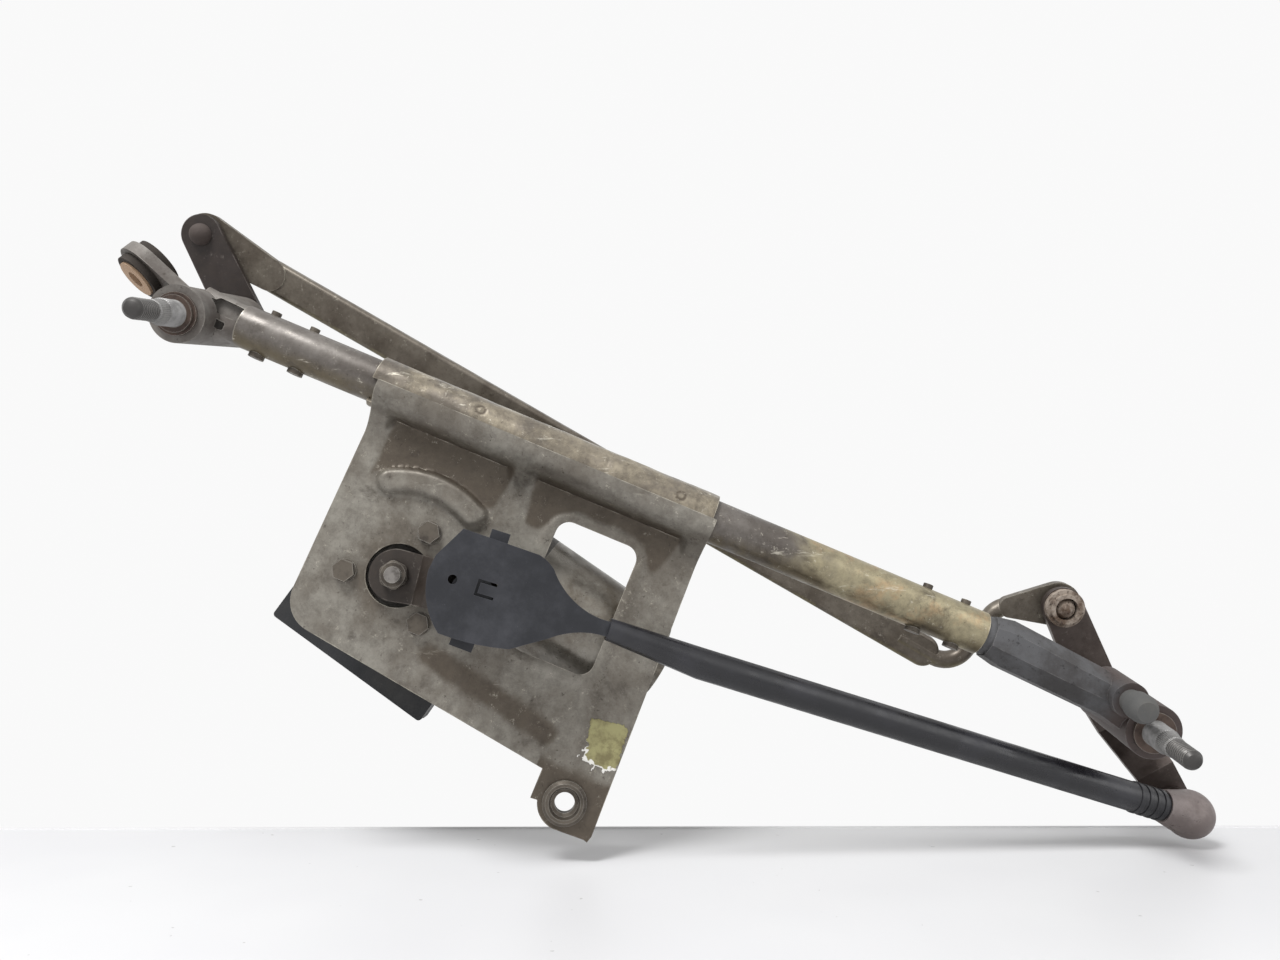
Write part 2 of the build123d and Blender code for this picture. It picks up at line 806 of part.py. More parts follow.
def gear_cover():
    """Black lid over the gears, with a deeper connector block along its lower edge."""
    body = prism(MOTOR, lid_outline(), -case_back - lid_depth, -case_back)
    body -= prism(MOTOR, lid_outline(-lid_wall), -case_back - lid_depth + lid_wall, -case_back + 1)
    top = lid_bottom + 20
    block = polygon((lid_left, lid_bottom), (lid_right, lid_bottom - 2), (lid_right, top), (lid_left, top))
    block = fillet(block.vertices(), 2.0)
    body += prism(MOTOR, block, -case_back, -case_back + 14)
    inlet = Pos(32, lid_bottom) * Rectangle(26, 30)
    body -= prism(MOTOR, inlet, -case_back + 2.0, -case_back + 12)
    for x, y in lid_screws():
        body -= disc(MOTOR, x, y, 2.0, -case_back - lid_depth - 1, -case_back + 1)
    return body


def lid_screws():
    r = case_radius - 3.5
    return [(r * cos(radians(a)), r * sin(radians(a))) for a in (70, 160, 250, 340)]


def connector_pins():
    blades = []
    for i in range(4):
        x = 23 + i * 6
        blades.append(
            MOTOR * Pos(x, lid_bottom + 11, -case_back + 7) * Box(2.0, 8.0, 0.8)
        )
    return Compound(blades)


def cover_screws():
    screws = []
    for x, y in lid_screws():
        low = -case_back - lid_depth - 2.2
        head = disc(MOTOR, x, y, 3.6, low, low + 2.2)
        screws.append(head + disc(MOTOR, x, y, 2.0, low, -case_back + 1))
    return Compound(screws)


def motor_bolts():
    bolts = []
    top = plate_thickness / 2
    for x, z in bolt_places():
        head = prism(FACE, Pos(x, z) * hexagon(bolt_head_flats), top, top + bolt_head_height)
        head += disc(FACE, x, z, bolt_head_flats / 2 + 1, top, top + 1.0)
        bolts.append(head + disc(FACE, x, z, bolt_diameter / 2, -case_front - 7, top))
    return Compound(bolts)


def motor_yoke():
    end = yoke_start + yoke_length
    body = along_motor(yoke_start, end, yoke_diameter / 2)
    body = fillet(body.edges().filter_by(GeomType.CIRCLE).sort_by(Axis.X)[-1], 8)
    body += along_motor(end - 1, end + 7, 10)
    body -= along_motor(yoke_start - 1, end - 12, yoke_diameter / 2 - yoke_wall)
    body -= along_motor(end - 13, end + 5, bearing_radius)
    return body


def core_ends():
    start = yoke_start + 20
    return start, start + core_length


def core_radius():
    return yoke_diameter / 2 - yoke_wall - magnet_thickness - air_gap


def field_magnets():
    outer = yoke_diameter / 2 - yoke_wall
    start, end = core_ends()
    start -= 3
    end += 3
    tube = along_motor(start, end, outer) - along_motor(start - 1, end + 1, outer - magnet_thickness)
    gap_plane = Plane(origin=worm_line(start - 1), x_dir=MOTOR.y_dir, z_dir=MOTOR.x_dir)
    gap = extrude(gap_plane * Rectangle(80, 20), amount=end - start + 2)
    return tube - gap


def yoke_screws():
    screws = []
    for side in (-1, 1):
        n = side * (yoke_diameter / 2 - 4.5)
        head = along_motor(yoke_start - 9.5, yoke_start - 6, 4.0, n)
        screws.append(head + along_motor(yoke_start - 6, yoke_start, 2.0, n))
    return Compound(screws)


def brush_holder():
    plate = along_motor(yoke_start + 1, yoke_start + 4, yoke_diameter / 2 - yoke_wall)
    return plate - along_motor(yoke_start, yoke_start + 5, 9)


def brushes():
    blocks = []
    for side in (-1, 1):
        centre = worm_line(yoke_start + 8)
        outward = side * (commutator_radius + brush_length / 2 + 0.2)
        across = Plane(origin=centre, x_dir=MOTOR.x_dir, z_dir=MOTOR.y_dir)
        blocks.append(across * Pos(0, 0, outward) * Box(8, 6, brush_length))
    return Compound(blocks)


def armature_bearings():
    end = yoke_start + yoke_length
    inner = armature_shaft_radius + spindle_running_gap
    places = (
        (-worm_offset - 6, -worm_offset, tunnel_radius - 4.5),
        (worm_offset, worm_offset + 8, tunnel_radius - 4.5),
        (end - 3, end + 5, bearing_radius),
    )
    return Compound([along_motor(a, b, r) - along_motor(a - 1, b + 1, inner) for a, b, r in places])


def armature_shaft():
    """Shaft with the worm cut as a row of rounded turns beside the wheel."""
    end = yoke_start + yoke_length
    body = along_motor(-worm_offset - 5.5, end + 4.5, armature_shaft_radius)
    pitch = 2 * pi * wheel_radius / wheel_teeth
    turns = 8
    for i in range(turns):
        middle = (i - (turns - 1) / 2) * pitch
        body += along_motor(middle - pitch * 0.28, middle + pitch * 0.28, worm_offset - wheel_radius - 0.3)
    return body


def armature_core():
    start, end = core_ends()
    radius = core_radius()
    core = along_motor(start, end, radius)
    core -= along_motor(start - 1, end + 1, armature_shaft_radius)
    slots = 8
    for i in range(slots):
        plane = Plane(origin=worm_line(start - 1), x_dir=MOTOR.y_dir, z_dir=MOTOR.x_dir)
        slot = plane * Rot(0, 0, 360 * i / slots) * Pos(radius - 3.5, 0) * Rectangle(8, 4)
        core -= extrude(slot, amount=core_length + 2)
    return core


def windings():
    start, end = core_ends()
    coils = []
    for near, far in ((start - 6, start), (end, end + 6)):
        coil = along_motor(near, far, core_radius() - 2.5)
        coils.append(coil - along_motor(near - 1, far + 1, armature_shaft_radius))
    return Compound(coils)


def commutator():
    bars = along_motor(yoke_start + 4.5, yoke_start + 13, commutator_radius)
    return bars - along_motor(yoke_start + 4, yoke_start + 14, armature_shaft_radius)


def worm_wheel():
    root = wheel_radius - 2.0
    points = []
    for i in range(wheel_teeth):
        flanks = ((0.0, root), (0.18, root), (0.36, wheel_radius), (0.64, wheel_radius), (0.82, root))
        for share, radius in flanks:
            angle = 2 * pi * (i + share) / wheel_teeth
            points.append((radius * cos(angle), radius * sin(angle)))
    wheel = polygon(*points) - Circle(shaft_diameter / 2)
    middle = -motor_depth
    body = prism(MOTOR, wheel, middle - wheel_width / 2, middle + wheel_width / 2)
    web = Circle(root - 3) - Circle(shaft_diameter / 2 + 4)
    body -= prism(MOTOR, web, middle - wheel_width / 2, middle - wheel_width / 2 + 3)
    body -= prism(MOTOR, web, middle + wheel_width / 2 - 3, middle + wheel_width / 2)
    return body


# Crank

def crank_plane():
    return Plane(
        origin=(shaft_left, 0, shaft_rise),
        x_dir=(cos(radians(crank_angle)), 0, sin(radians(crank_angle))),
        z_dir=(0, -1, 0),
    )


CRANK = crank_plane()
hub_front = crank_hub_back + crank_thickness
arm_back = crank_hub_back + crank_joggle


def output_shaft():
    shaft = disc(MOTOR, 0, 0, shaft_diameter / 2, -motor_depth - wheel_width / 2 - 3, hub_front)
    return shaft + disc(MOTOR, 0, 0, shaft_thread / 2, hub_front, hub_front + nut_height + 2.0)


def crank_arm():
    end = crank_end_diameter / 2
    hub = crank_hub_diameter / 2
    outline = hull((0, 0, hub), (crank_radius, 0, end))
    t = crank_thickness
    near = hub + 0.5
    far = near + crank_joggle * 0.8
    side = polygon(
        (-hub - 1, crank_hub_back),
        (near, crank_hub_back),
        (far, arm_back),
        (crank_radius + end + 1, arm_back),
        (crank_radius + end + 1, arm_back + t),
        (far - t * 0.5, arm_back + t),
        (near - t * 0.5, crank_hub_back + t),
        (-hub - 1, crank_hub_back + t),
    )
    body = bent(CRANK, outline, (1, 0), side, crank_hub_back, arm_back + t)
    body -= disc(CRANK, 0, 0, shaft_diameter / 2, 0, 30)
    return body - disc(CRANK, crank_radius, 0, 4.0, 0, 40)


def crank_nut():
    nut = prism(MOTOR, Rot(0, 0, 8) * hexagon(nut_flats), hub_front, hub_front + nut_height)
    cone = MOTOR * Pos(0, 0, hub_front + nut_height / 2) * Cylinder(nut_flats / 2 + 0.55, nut_height)
    return (nut & chamfer(cone.edges(), 1.0)) - disc(MOTOR, 0, 0, shaft_thread / 2, 0, 40)


def crank_ball_stud():
    neck = disc(CRANK, crank_radius, 0, 4.0, arm_back, crank_ball_forward)
    flange = disc(CRANK, crank_radius, 0, 6.5, arm_back + crank_thickness, arm_back + crank_thickness + 1.5)
    ball = Pos(*crank_ball) * Sphere(ball_diameter / 2)
    return neck + flange + ball


# Drive rod between the crank ball and the right lever's lower ball

def rod_point(along, across=0.0):
    return ROD.from_local_coords((along, across, 0))


def rod_core():
    """Round rod with a slight set in its neck, which runs from the socket to the bulb."""
    end = rod_length - bulb_diameter / 2 + 4
    knee = rod_point(sleeve_start - 3, sleeve_lift)
    set_end = rod_point(sleeve_taper_end)
    core = cylinder_between(rod_point(rod_start), knee, neck_diameter / 2)
    core += Pos(*knee) * Sphere(neck_diameter / 2)
    core += cylinder_between(knee, set_end, neck_diameter / 2)
    return core + cylinder_between(set_end, rod_point(end), rod_diameter / 2)


def rod_section(along, across, diameter):
    return Plane(origin=rod_point(along, across), x_dir=ROD.y_dir, z_dir=ROD.x_dir) * Circle(diameter / 2)


def rod_sleeve():
    """Sleeve that widens from the cap to its full size, with crimped ridges at the bulb."""
    end = rod_length - bulb_diameter / 2 + 0.5
    taper = loft([
        rod_section(sleeve_start, sleeve_lift, sleeve_tip_diameter).face(),
        rod_section(sleeve_taper_end, 0, sleeve_diameter).face(),
    ])
    body = taper + cylinder_between(rod_point(sleeve_taper_end), rod_point(end), sleeve_diameter / 2)
    for i in range(crimp_count):
        start = crimp_start + i * crimp_pitch
        end = start + crimp_pitch / 2
        ridge = cylinder_between(rod_point(start), rod_point(end), sleeve_diameter / 2 + crimp_stand)
        body += fillet(ridge.edges().filter_by(GeomType.CIRCLE), crimp_stand * 0.8)
    return body - rod_core()


def crank_socket():
    """Plastic socket that grips the crank ball and carries the rod's end."""
    inner = ball_diameter / 2 + stud_clearance
    outer = ball_diameter / 2 + 4
    mouth = ball_diameter / 2 - 0.4
    mouth_depth = sqrt(inner**2 - mouth**2)
    top = cover_front - cover_wall - 0.3
    profile = make_face([
        Polyline((0, inner), (0, top), (outer, top), (outer, -5), (mouth, -5), (mouth, -mouth_depth)),
        ThreePointArc((mouth, -mouth_depth), (inner, 0), (0, inner)),
    ])
    side = Plane(origin=ROD.origin, x_dir=ROD.x_dir, z_dir=-ROD.y_dir)
    body = revolve(side * profile, Axis(ROD.origin, ROD.z_dir))
    arm = cylinder_between(rod_point(outer - 1.5), rod_point(24), neck_diameter / 2 + 2)
    return body + arm - rod_core()


def cover_outline(inset=0.0):
    """Fishtail outline of the cap, with its narrow end on the rod's set neck."""
    upper = sleeve_lift + cover_neck
    lower = sleeve_lift - cover_neck
    shoulder = (cover_flat * 1.35, cover_top * 0.8)
    waist = (cover_flat * 1.66, -cover_bottom * 0.43)
    top = Polyline((-cover_left + 1, 11.8), (-cover_left * 0.58, cover_top), (cover_flat, cover_top - 1))
    bend = ThreePointArc((cover_flat, cover_top - 1), (cover_flat * 1.19, cover_top - 2.8), shoulder)
    upper_sweep = ThreePointArc(shoulder, (cover_flat * 1.88, cover_top * 0.4), (sleeve_start, upper))
    end = Line((sleeve_start, upper), (sleeve_start, lower))
    lower_sweep = ThreePointArc((sleeve_start, lower), (cover_flat * 2.1, lower - 2.5), waist)
    flank = Line(waist, (cover_flat, -cover_bottom * 0.89))
    bottom = ThreePointArc((cover_flat, -cover_bottom * 0.89), (7.5, -cover_bottom), (-8.6, -cover_bottom))
    left = ThreePointArc((-8.6, -cover_bottom), (-cover_left * 0.83, -9.5), (-cover_left, 4.6))
    close = Line((-cover_left, 4.6), (-cover_left + 1, 11.8))
    face = make_face([top, bend, upper_sweep, end, lower_sweep, flank, bottom, left, close])
    return offset(face, amount=-inset) if inset else face


def crank_cover():
    """Fishtail cap over the crank ball, open towards the bracket, tapering into the sleeve."""
    shell = prism(ROD, cover_outline(), -cover_back, cover_front)
    inside = prism(ROD, cover_outline(cover_wall), -cover_back - 1, cover_front - cover_wall)
    side = Plane(origin=ROD.origin, x_dir=ROD.x_dir, z_dir=-ROD.y_dir)
    tip = sleeve_start + 1
    slope = polygon((22, cover_front), (tip, cover_neck), (tip, 30), (22, 30))
    rear_slope = polygon((28, -13), (tip, -cover_neck), (tip, -30), (28, -30))
    inner_slope = polygon((21, cover_front - cover_wall), (tip, cover_neck - cover_wall), (tip, 30), (21, 30))
    inside -= extrude(side * inner_slope, amount=60, both=True)
    upper_tab, lower_tab = cover_tabs()
    body = shell + upper_tab + lower_tab - inside
    body -= extrude(side * slope, amount=60, both=True) + extrude(side * rear_slope, amount=60, both=True)
    body -= Pos(crank_ball.X, -cover_edge_forward + 50, crank_ball.Z) * Box(300, 100, 300)
    body -= disc(ROD, -10.1, 3.6, 2.2, 0, 20)
    outer_u = polygon(
        (4.6, 3.9), (-4.6, 3.9), (-4.6, -3.9), (4.6, -3.9), (4.6, -2.5), (-3.2, -2.5), (-3.2, 2.5), (4.6, 2.5)
    )
    body -= prism(ROD, Pos(5.7, 3.6) * outer_u, 4, 20)
    return body - rod_core()


def cover_tabs():
    """Snap hooks that hold the cap on the socket, seen at its upper and lower edges."""
    upper = ROD * Pos(4.4, cover_top + 1.4, 1.0) * Box(9, 5.6, 5)
    lower = ROD * Pos(3.3, -cover_bottom - 1.6, -1.0) * Rot(0, 0, -4) * Box(11, 5.6, 5)
    return upper, lower


def lever_socket():
    """Metal bulb swaged round the rod's end, holding the lever's lower ball."""
    near = rod_length - bulb_diameter / 2
    centre = lever_ball
    body = Pos(*centre) * Sphere(bulb_diameter / 2)
    body += loft([
        rod_section(near - 4, 0, sleeve_diameter + 1.6).face(),
        rod_section(near + bulb_diameter * 0.28, 0, bulb_diameter * 0.9).face(),
    ])
    body -= cylinder_between(rod_point(near - 12), rod_point(near + 0.5), sleeve_diameter / 2)
    body -= cylinder_between(rod_point(near - 2), rod_point(near + 4), rod_diameter / 2)
    mouth = lower_ball_diameter / 2 - 1
    low = lever_ball - RIGHT.z_dir * bulb_diameter
    body -= cylinder_between(low, centre, mouth)
    return body - Pos(*centre) * Sphere(lower_ball_diameter / 2)


def lever_ball_stud():
    """Ball stud of the lower pivot. Its shank stops just clear of the lever."""
    low = -lever_back + lever_joggle + lever_thickness + stud_clearance
    x, y = lower_ball
    shank = disc(RIGHT, x, y, 4.5, low, -lower_ball_back)
    flange = disc(RIGHT, x, y, 7.5, low, low + 1.5)
    ball = RIGHT * Pos(x, y, -lower_ball_back) * Sphere(lower_ball_diameter / 2)
    return shank + flange + ball


nodes = {
    "bracket_plate": bracket_plate,
    "cross_tube": cross_tube,
    "tube_pins": tube_pins,
    "left_pivot_housing": left_pivot_housing,
    "right_pivot_housing": right_pivot_housing,
    "left_spindle_bushes": lambda: spindle_bushes(LEFT, left_boss_front),
    "right_spindle_bushes": lambda: spindle_bushes(RIGHT, right_boss_front),
    "left_grommet": left_grommet,
    "left_grommet_sleeve": left_grommet_sleeve,
    "right_locating_pin": right_locating_pin,
    "lower_fixing_bush": lower_fixing_bush,
    "gear_housing": gear_housing,
    "output_bush": output_bush,
    "gear_cover": gear_cover,
    "connector_pins": connector_pins,
    "cover_screws": cover_screws,
    "motor_bolts": motor_bolts,
    "motor_yoke": motor_yoke,
    "field_magnets": field_magnets,
    "yoke_screws": yoke_screws,
    "brush_holder": brush_holder,
    "brushes": brushes,
    "armature_bearings": armature_bearings,
    "armature_shaft": armature_shaft,
    "armature_core": armature_core,
    "armature_windings": windings,
    "commutator": commutator,
    "worm_wheel": worm_wheel,
    "output_shaft": output_shaft,
    "crank_arm": crank_arm,
    "crank_nut": crank_nut,
    "crank_ball_stud": crank_ball_stud,
    "link_rod": rod_core,
    "rod_sleeve": rod_sleeve,
    "crank_socket": crank_socket,
    "crank_cover": crank_cover,
    "lever_socket": lever_socket,
    "lever_ball_stud": lever_ball_stud,
    "right_spindle": lambda: spindle(RIGHT, right_spindle_reach),
    "right_lever": right_lever,
    "right_upper_rivet": lambda: upper_rivet(RIGHT),
    "right_upper_cup": upper_cup,
    "right_retaining_ring": lambda: retaining_rings(RIGHT, right_boss_front, 1),
    "right_thrust_washer": lambda: spindle_shim(RIGHT),
    "left_spindle": lambda: spindle(LEFT, left_spindle_reach),
    "left_lever": left_lever,
    "left_upper_rivet": lambda: upper_rivet(LEFT),
    "left_retaining_rings": lambda: retaining_rings(LEFT, left_boss_front, 2),
    "left_thrust_washer": lambda: spindle_shim(LEFT),
    "cross_link": cross_link,
    "link_bearings": link_bearings,
}


def main():
    os.makedirs("parts", exist_ok=True)
    for name, make in nodes.items():
        export_step(Rot(0, tilt, 0) * make(), "parts/" + name + ".step")


main()
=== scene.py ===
import bpy
import bmesh
import json
import numpy as np
from math import atan2, cos, degrees, floor, hypot, pi, radians, sin
from mathutils import Matrix, Vector, noise
from mathutils.geometry import delaunay_2d_cdt


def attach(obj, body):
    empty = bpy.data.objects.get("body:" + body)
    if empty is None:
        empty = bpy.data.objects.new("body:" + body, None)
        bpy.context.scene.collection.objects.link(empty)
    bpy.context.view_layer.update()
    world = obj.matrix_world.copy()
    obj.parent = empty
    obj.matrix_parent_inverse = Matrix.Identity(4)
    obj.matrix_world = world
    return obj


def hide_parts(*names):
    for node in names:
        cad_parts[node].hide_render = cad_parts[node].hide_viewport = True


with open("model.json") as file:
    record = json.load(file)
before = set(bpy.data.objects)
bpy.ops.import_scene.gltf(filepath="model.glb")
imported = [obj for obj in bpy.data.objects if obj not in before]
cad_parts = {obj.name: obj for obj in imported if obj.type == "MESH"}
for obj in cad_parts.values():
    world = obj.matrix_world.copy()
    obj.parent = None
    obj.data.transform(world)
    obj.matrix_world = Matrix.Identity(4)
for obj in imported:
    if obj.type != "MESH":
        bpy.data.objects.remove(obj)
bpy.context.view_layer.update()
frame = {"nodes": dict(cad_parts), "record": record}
mm = 0.001


# Colours and node helpers

def srgb(red, green, blue):
    """Linear colour of a screen colour given from 0 to 255."""
    def linear(value):
        value /= 255
        return value / 12.92 if value <= 0.04045 else ((value + 0.055) / 1.055) ** 2.4
    return (linear(red), linear(green), linear(blue), 1.0)


finishes = {}


class Surface:
    """A procedural material, kept by name in finishes, with short calls for the nodes that it needs."""

    def __init__(self, name, roughness=0.6, metallic=0.0):
        self.material = bpy.data.materials.new(name)
        self.material.use_nodes = True
        finishes[name] = self.material
        self.tree = self.material.node_tree
        self.shader = self.tree.nodes["Principled BSDF"]
        self.set(self.shader, "Roughness", roughness)
        self.set(self.shader, "Metallic", metallic)
        self.place = self.add("TexCoord").outputs["Object"]

    def add(self, kind, **settings):
        node = self.tree.nodes.new("ShaderNode" + kind)
        for name, value in settings.items():
            setattr(node, name, value)
        return node

    def set(self, node, socket, value):
        """Puts a number, a colour or another node's output on a socket."""
        if isinstance(value, bpy.types.NodeSocket):
            self.tree.links.new(value, node.inputs[socket])
        else:
            node.inputs[socket].default_value = value

    def stretched(self, turn, scale):
        """Place turned by degrees about Y and scaled, for streaks along a piece."""
        mapping = self.add("Mapping")
        self.set(mapping, "Vector", self.place)
        self.set(mapping, "Rotation", (0, radians(turn), 0))
        self.set(mapping, "Scale", scale)
        return mapping.outputs["Vector"]

    def noise(self, scale, detail=4.0, roughness=0.6, place=None, distortion=0.0):
        node = self.add("TexNoise")
        self.set(node, "Vector", place or self.place)
        self.set(node, "Scale", scale)
        self.set(node, "Detail", detail)
        self.set(node, "Roughness", roughness)
        self.set(node, "Distortion", distortion)
        return node.outputs["Fac"]

    def span(self, value, low, high, to_low=0.0, to_high=1.0):
        node = self.add("MapRange", clamp=True, interpolation_type="SMOOTHSTEP")
        self.set(node, "Value", value)
        self.set(node, "From Min", low)
        self.set(node, "From Max", high)
        self.set(node, "To Min", to_low)
        self.set(node, "To Max", to_high)
        return node.outputs["Result"]

    def math(self, operation, first, second=0.0):
        node = self.add("Math", operation=operation)
        self.set(node, 0, first)
        self.set(node, 1, second)
        return node.outputs["Value"]

    def mix(self, share, first, second):
        node = self.add("Mix", data_type="RGBA")
        self.set(node, 0, share)
        self.set(node, 6, first)
        self.set(node, 7, second)
        return node.outputs[2]

    def edges(self, radius):
        """Mask that is 1 along sharp edges and 0 on flat faces."""
        bevel = self.add("Bevel", samples=4)
        self.set(bevel, "Radius", radius)
        plain = self.add("NewGeometry").outputs["Normal"]
        product = self.add("VectorMath", operation="DOT_PRODUCT")
        self.set(product, 0, bevel.outputs["Normal"])
        self.set(product, 1, plain)
        return self.span(product.outputs["Value"], 0.995, 0.85)

    def facing(self, low, high):
        """Mask by how far the surface tilts up: the height of its normal from low to high."""
        split = self.add("SeparateXYZ")
        self.set(split, 0, self.add("NewGeometry").outputs["Normal"])
        return self.span(split.outputs["Z"], low, high)

    def across(self, low, high):
        """Mask that rises from left to right between two places along X."""
        split = self.add("SeparateXYZ")
        self.set(split, 0, self.place)
        return self.span(split.outputs["X"], low, high)

    def painted_share(self):
        """The mesh's own shade value."""
        return self.add("Attribute", attribute_name="shade").outputs["Fac"]

    def bump(self, height, depth, strength=1.0):
        """Adds a bump on top of the ones before it."""
        node = self.add("Bump")
        self.set(node, "Height", height)
        self.set(node, "Distance", depth)
        self.set(node, "Strength", strength)
        if self.shader.inputs["Normal"].is_linked:
            self.set(node, "Normal", self.shader.inputs["Normal"].links[0].from_socket)
        self.set(self.shader, "Normal", node.outputs["Normal"])


# Materials of the metal pieces, and where along X three of them change from left to right

tone_change = (0.095, 0.15)
casting_change = (0.255, 0.285)
rust_change = (-0.02, 0.02)


def plated(
    name, clean, second, dirt, bright, scuff=0.3, dirt_share=0.5, roughness=0.5, metallic=0.3,
    far=None, under=None, film=None,
):
    """Old plated or painted steel: blotches, dirt, dark specks, bright chips, streaks and worn edges.

    far holds the tone and the blotches of the right end, under is the colour of what faces down, and film
    is the brown colour of dirt and painted shade where the mesh's shade is high, on the bracket and its
    wrap.
    """
    skin = Surface(name, roughness, metallic)
    colour = skin.mix(skin.span(skin.noise(22, 8, 0.7), 0.38, 0.62), clean, second)
    if far:
        uneven = skin.span(skin.noise(18, 4), 0.3, 0.7, -0.35, 0.35)
        share = skin.span(skin.math("ADD", skin.across(*tone_change), uneven), 0.2, 0.8)
        blotch = skin.math("MULTIPLY", skin.span(skin.noise(38, 8, 0.75), 0.50, 0.64), 0.7)
        colour = skin.mix(share, colour, skin.mix(blotch, *far))
        skin.set(skin.shader, "Metallic", skin.span(share, 0.0, 1.0, metallic, 0.65))
        roughness -= 0.06
    if under:
        patches = skin.math("MULTIPLY", skin.facing(-0.15, -0.8), skin.span(skin.noise(45, 6), 0.36, 0.6))
        colour = skin.mix(patches, colour, under)
    # Brown of dirt and painted shade where the mesh's shade is high.
    if film:
        uneven = skin.span(skin.noise(70, 9, 0.75), 0.3, 0.7, -0.16, 0.16)
        ragged = skin.math("ADD", skin.painted_share(), uneven)
        colour = skin.mix(skin.math("MULTIPLY", skin.span(ragged, 0.08, 0.85), 0.95), colour, film)
    cloud = skin.noise(48, 9, 0.68, distortion=0.4)
    cloud = skin.span(cloud, 0.72 - 0.25 * dirt_share, 0.80 - 0.12 * dirt_share)
    colour = skin.mix(skin.math("MULTIPLY", cloud, 0.7), colour, dirt)
    grain = skin.span(skin.noise(130, 9, 0.85), 0.40, 0.66)
    colour = skin.mix(skin.math("MULTIPLY", grain, 0.4), colour, dirt)
    speck = skin.span(skin.noise(300, 4, 0.75), 0.62, 0.70)
    colour = skin.mix(skin.math("MULTIPLY", speck, 0.65), colour, dirt)
    chips = skin.span(skin.noise(190, 7, 0.85), 0.58, 0.68)
    colour = skin.mix(skin.math("MULTIPLY", chips, 0.25 + 0.5 * scuff), colour, bright)
    streaks = skin.noise(95, 6, 0.8, place=skin.stretched(22.4, (0.16, 1.0, 1.3)))
    streak = skin.math("MULTIPLY", skin.span(streaks, 0.66 - 0.1 * scuff, 0.74 - 0.07 * scuff), scuff)
    colour = skin.mix(streak, colour, bright)
    worn = skin.math("MULTIPLY", skin.edges(0.9 * mm), skin.span(skin.noise(90, 4), 0.42, 0.62))
    colour = skin.mix(skin.math("MULTIPLY", worn, 0.55), colour, bright)
    skin.set(skin.shader, "Base Color", colour)
    gloss = skin.span(skin.noise(70, 6), 0.3, 0.7, roughness - 0.12, roughness + 0.14)
    skin.set(skin.shader, "Roughness", gloss)
    skin.bump(skin.noise(520, 5, 0.6), 0.06 * mm, 0.6)
    skin.bump(skin.noise(60, 4, 0.5), 0.25 * mm, 0.35)


def casting(name, clean, second, dirt, bright, roughness=0.62, far=None):
    """Die casting: fine grain, dark pits and rubbed corners. far is the colour of dirt at the right end."""
    skin = Surface(name, roughness, 0.3)
    colour = skin.mix(skin.span(skin.noise(34, 8, 0.7), 0.38, 0.62), clean, second)
    if far:
        uneven = skin.span(skin.noise(40, 5), 0.3, 0.7, -0.2, 0.2)
        share = skin.span(skin.math("ADD", skin.across(*casting_change), uneven), 0.2, 0.8)
        colour = skin.mix(skin.math("MULTIPLY", share, 0.85), colour, far)
    pits = skin.span(skin.noise(260, 4, 0.7), 0.60, 0.68)
    colour = skin.mix(skin.math("MULTIPLY", pits, 0.7), colour, dirt)
    worn = skin.math("MULTIPLY", skin.edges(0.8 * mm), skin.span(skin.noise(120, 4), 0.40, 0.60))
    colour = skin.mix(skin.math("MULTIPLY", worn, 0.5), colour, bright)
    skin.set(skin.shader, "Base Color", colour)
    skin.bump(skin.noise(700, 5, 0.65), 0.12 * mm, 0.8)


def turned_steel(name, clean, dirt, roughness=0.35, metallic=0.75, film_share=0.8):
    """Machined steel with a film of old grease, darkest where the mesh's shade is high: on the spindles'
    threads, painted shade in the roots.
    """
    skin = Surface(name, roughness, metallic)
    film = skin.math("MULTIPLY", skin.span(skin.noise(110, 7, 0.7), 0.42, 0.66), film_share)
    colour = skin.mix(skin.math("MAXIMUM", film, skin.painted_share()), clean, dirt)
    worn = skin.math("MULTIPLY", skin.edges(0.6 * mm), 0.5)
    colour = skin.mix(worn, colour, srgb(190, 186, 178))
    skin.set(skin.shader, "Base Color", colour)
    gloss = skin.span(skin.noise(160, 5), 0.3, 0.7, roughness, roughness + 0.3)
    skin.set(skin.shader, "Roughness", gloss)
    skin.bump(skin.noise(900, 3, 0.6), 0.03 * mm, 0.5)


def rusty(name, crust, pale, deep, left):
    """Rust with pale and deep patches on the right piece. left is the colour of the clean left one."""
    skin = Surface(name, 0.8, 0.1)
    colour = skin.mix(skin.span(skin.noise(120, 8, 0.7), 0.38, 0.64), crust, pale)
    colour = skin.mix(skin.span(skin.noise(420, 5, 0.7), 0.52, 0.68), colour, deep)
    colour = skin.mix(skin.across(*rust_change), left, colour)
    skin.set(skin.shader, "Base Color", colour)
    skin.bump(skin.noise(380, 8, 0.7), 0.35 * mm, 0.9)


# Materials of the plastic and rubber pieces

def moulded(name, clean, dust, roughness=0.5, dust_share=0.35):
    """Moulded plastic or rubber with dust, faint blotches and rubbed edges."""
    skin = Surface(name, roughness)
    skin.set(skin.shader, "Specular IOR Level", 0.3)
    film = skin.math("MULTIPLY", skin.span(skin.noise(22, 8, 0.7), 0.42, 0.70), dust_share)
    colour = skin.mix(film, clean, dust)
    speck = skin.math("MULTIPLY", skin.span(skin.noise(380, 3, 0.7), 0.68, 0.74), 0.5)
    colour = skin.mix(speck, colour, dust)
    worn = skin.math("MULTIPLY", skin.edges(0.6 * mm), 0.35)
    skin.set(skin.shader, "Base Color", skin.mix(worn, colour, dust))
    gloss = skin.span(skin.noise(60, 6), 0.3, 0.7, roughness - 0.08, roughness + 0.16)
    skin.set(skin.shader, "Roughness", gloss)
    skin.bump(skin.noise(620, 4, 0.6), 0.05 * mm, 0.6)


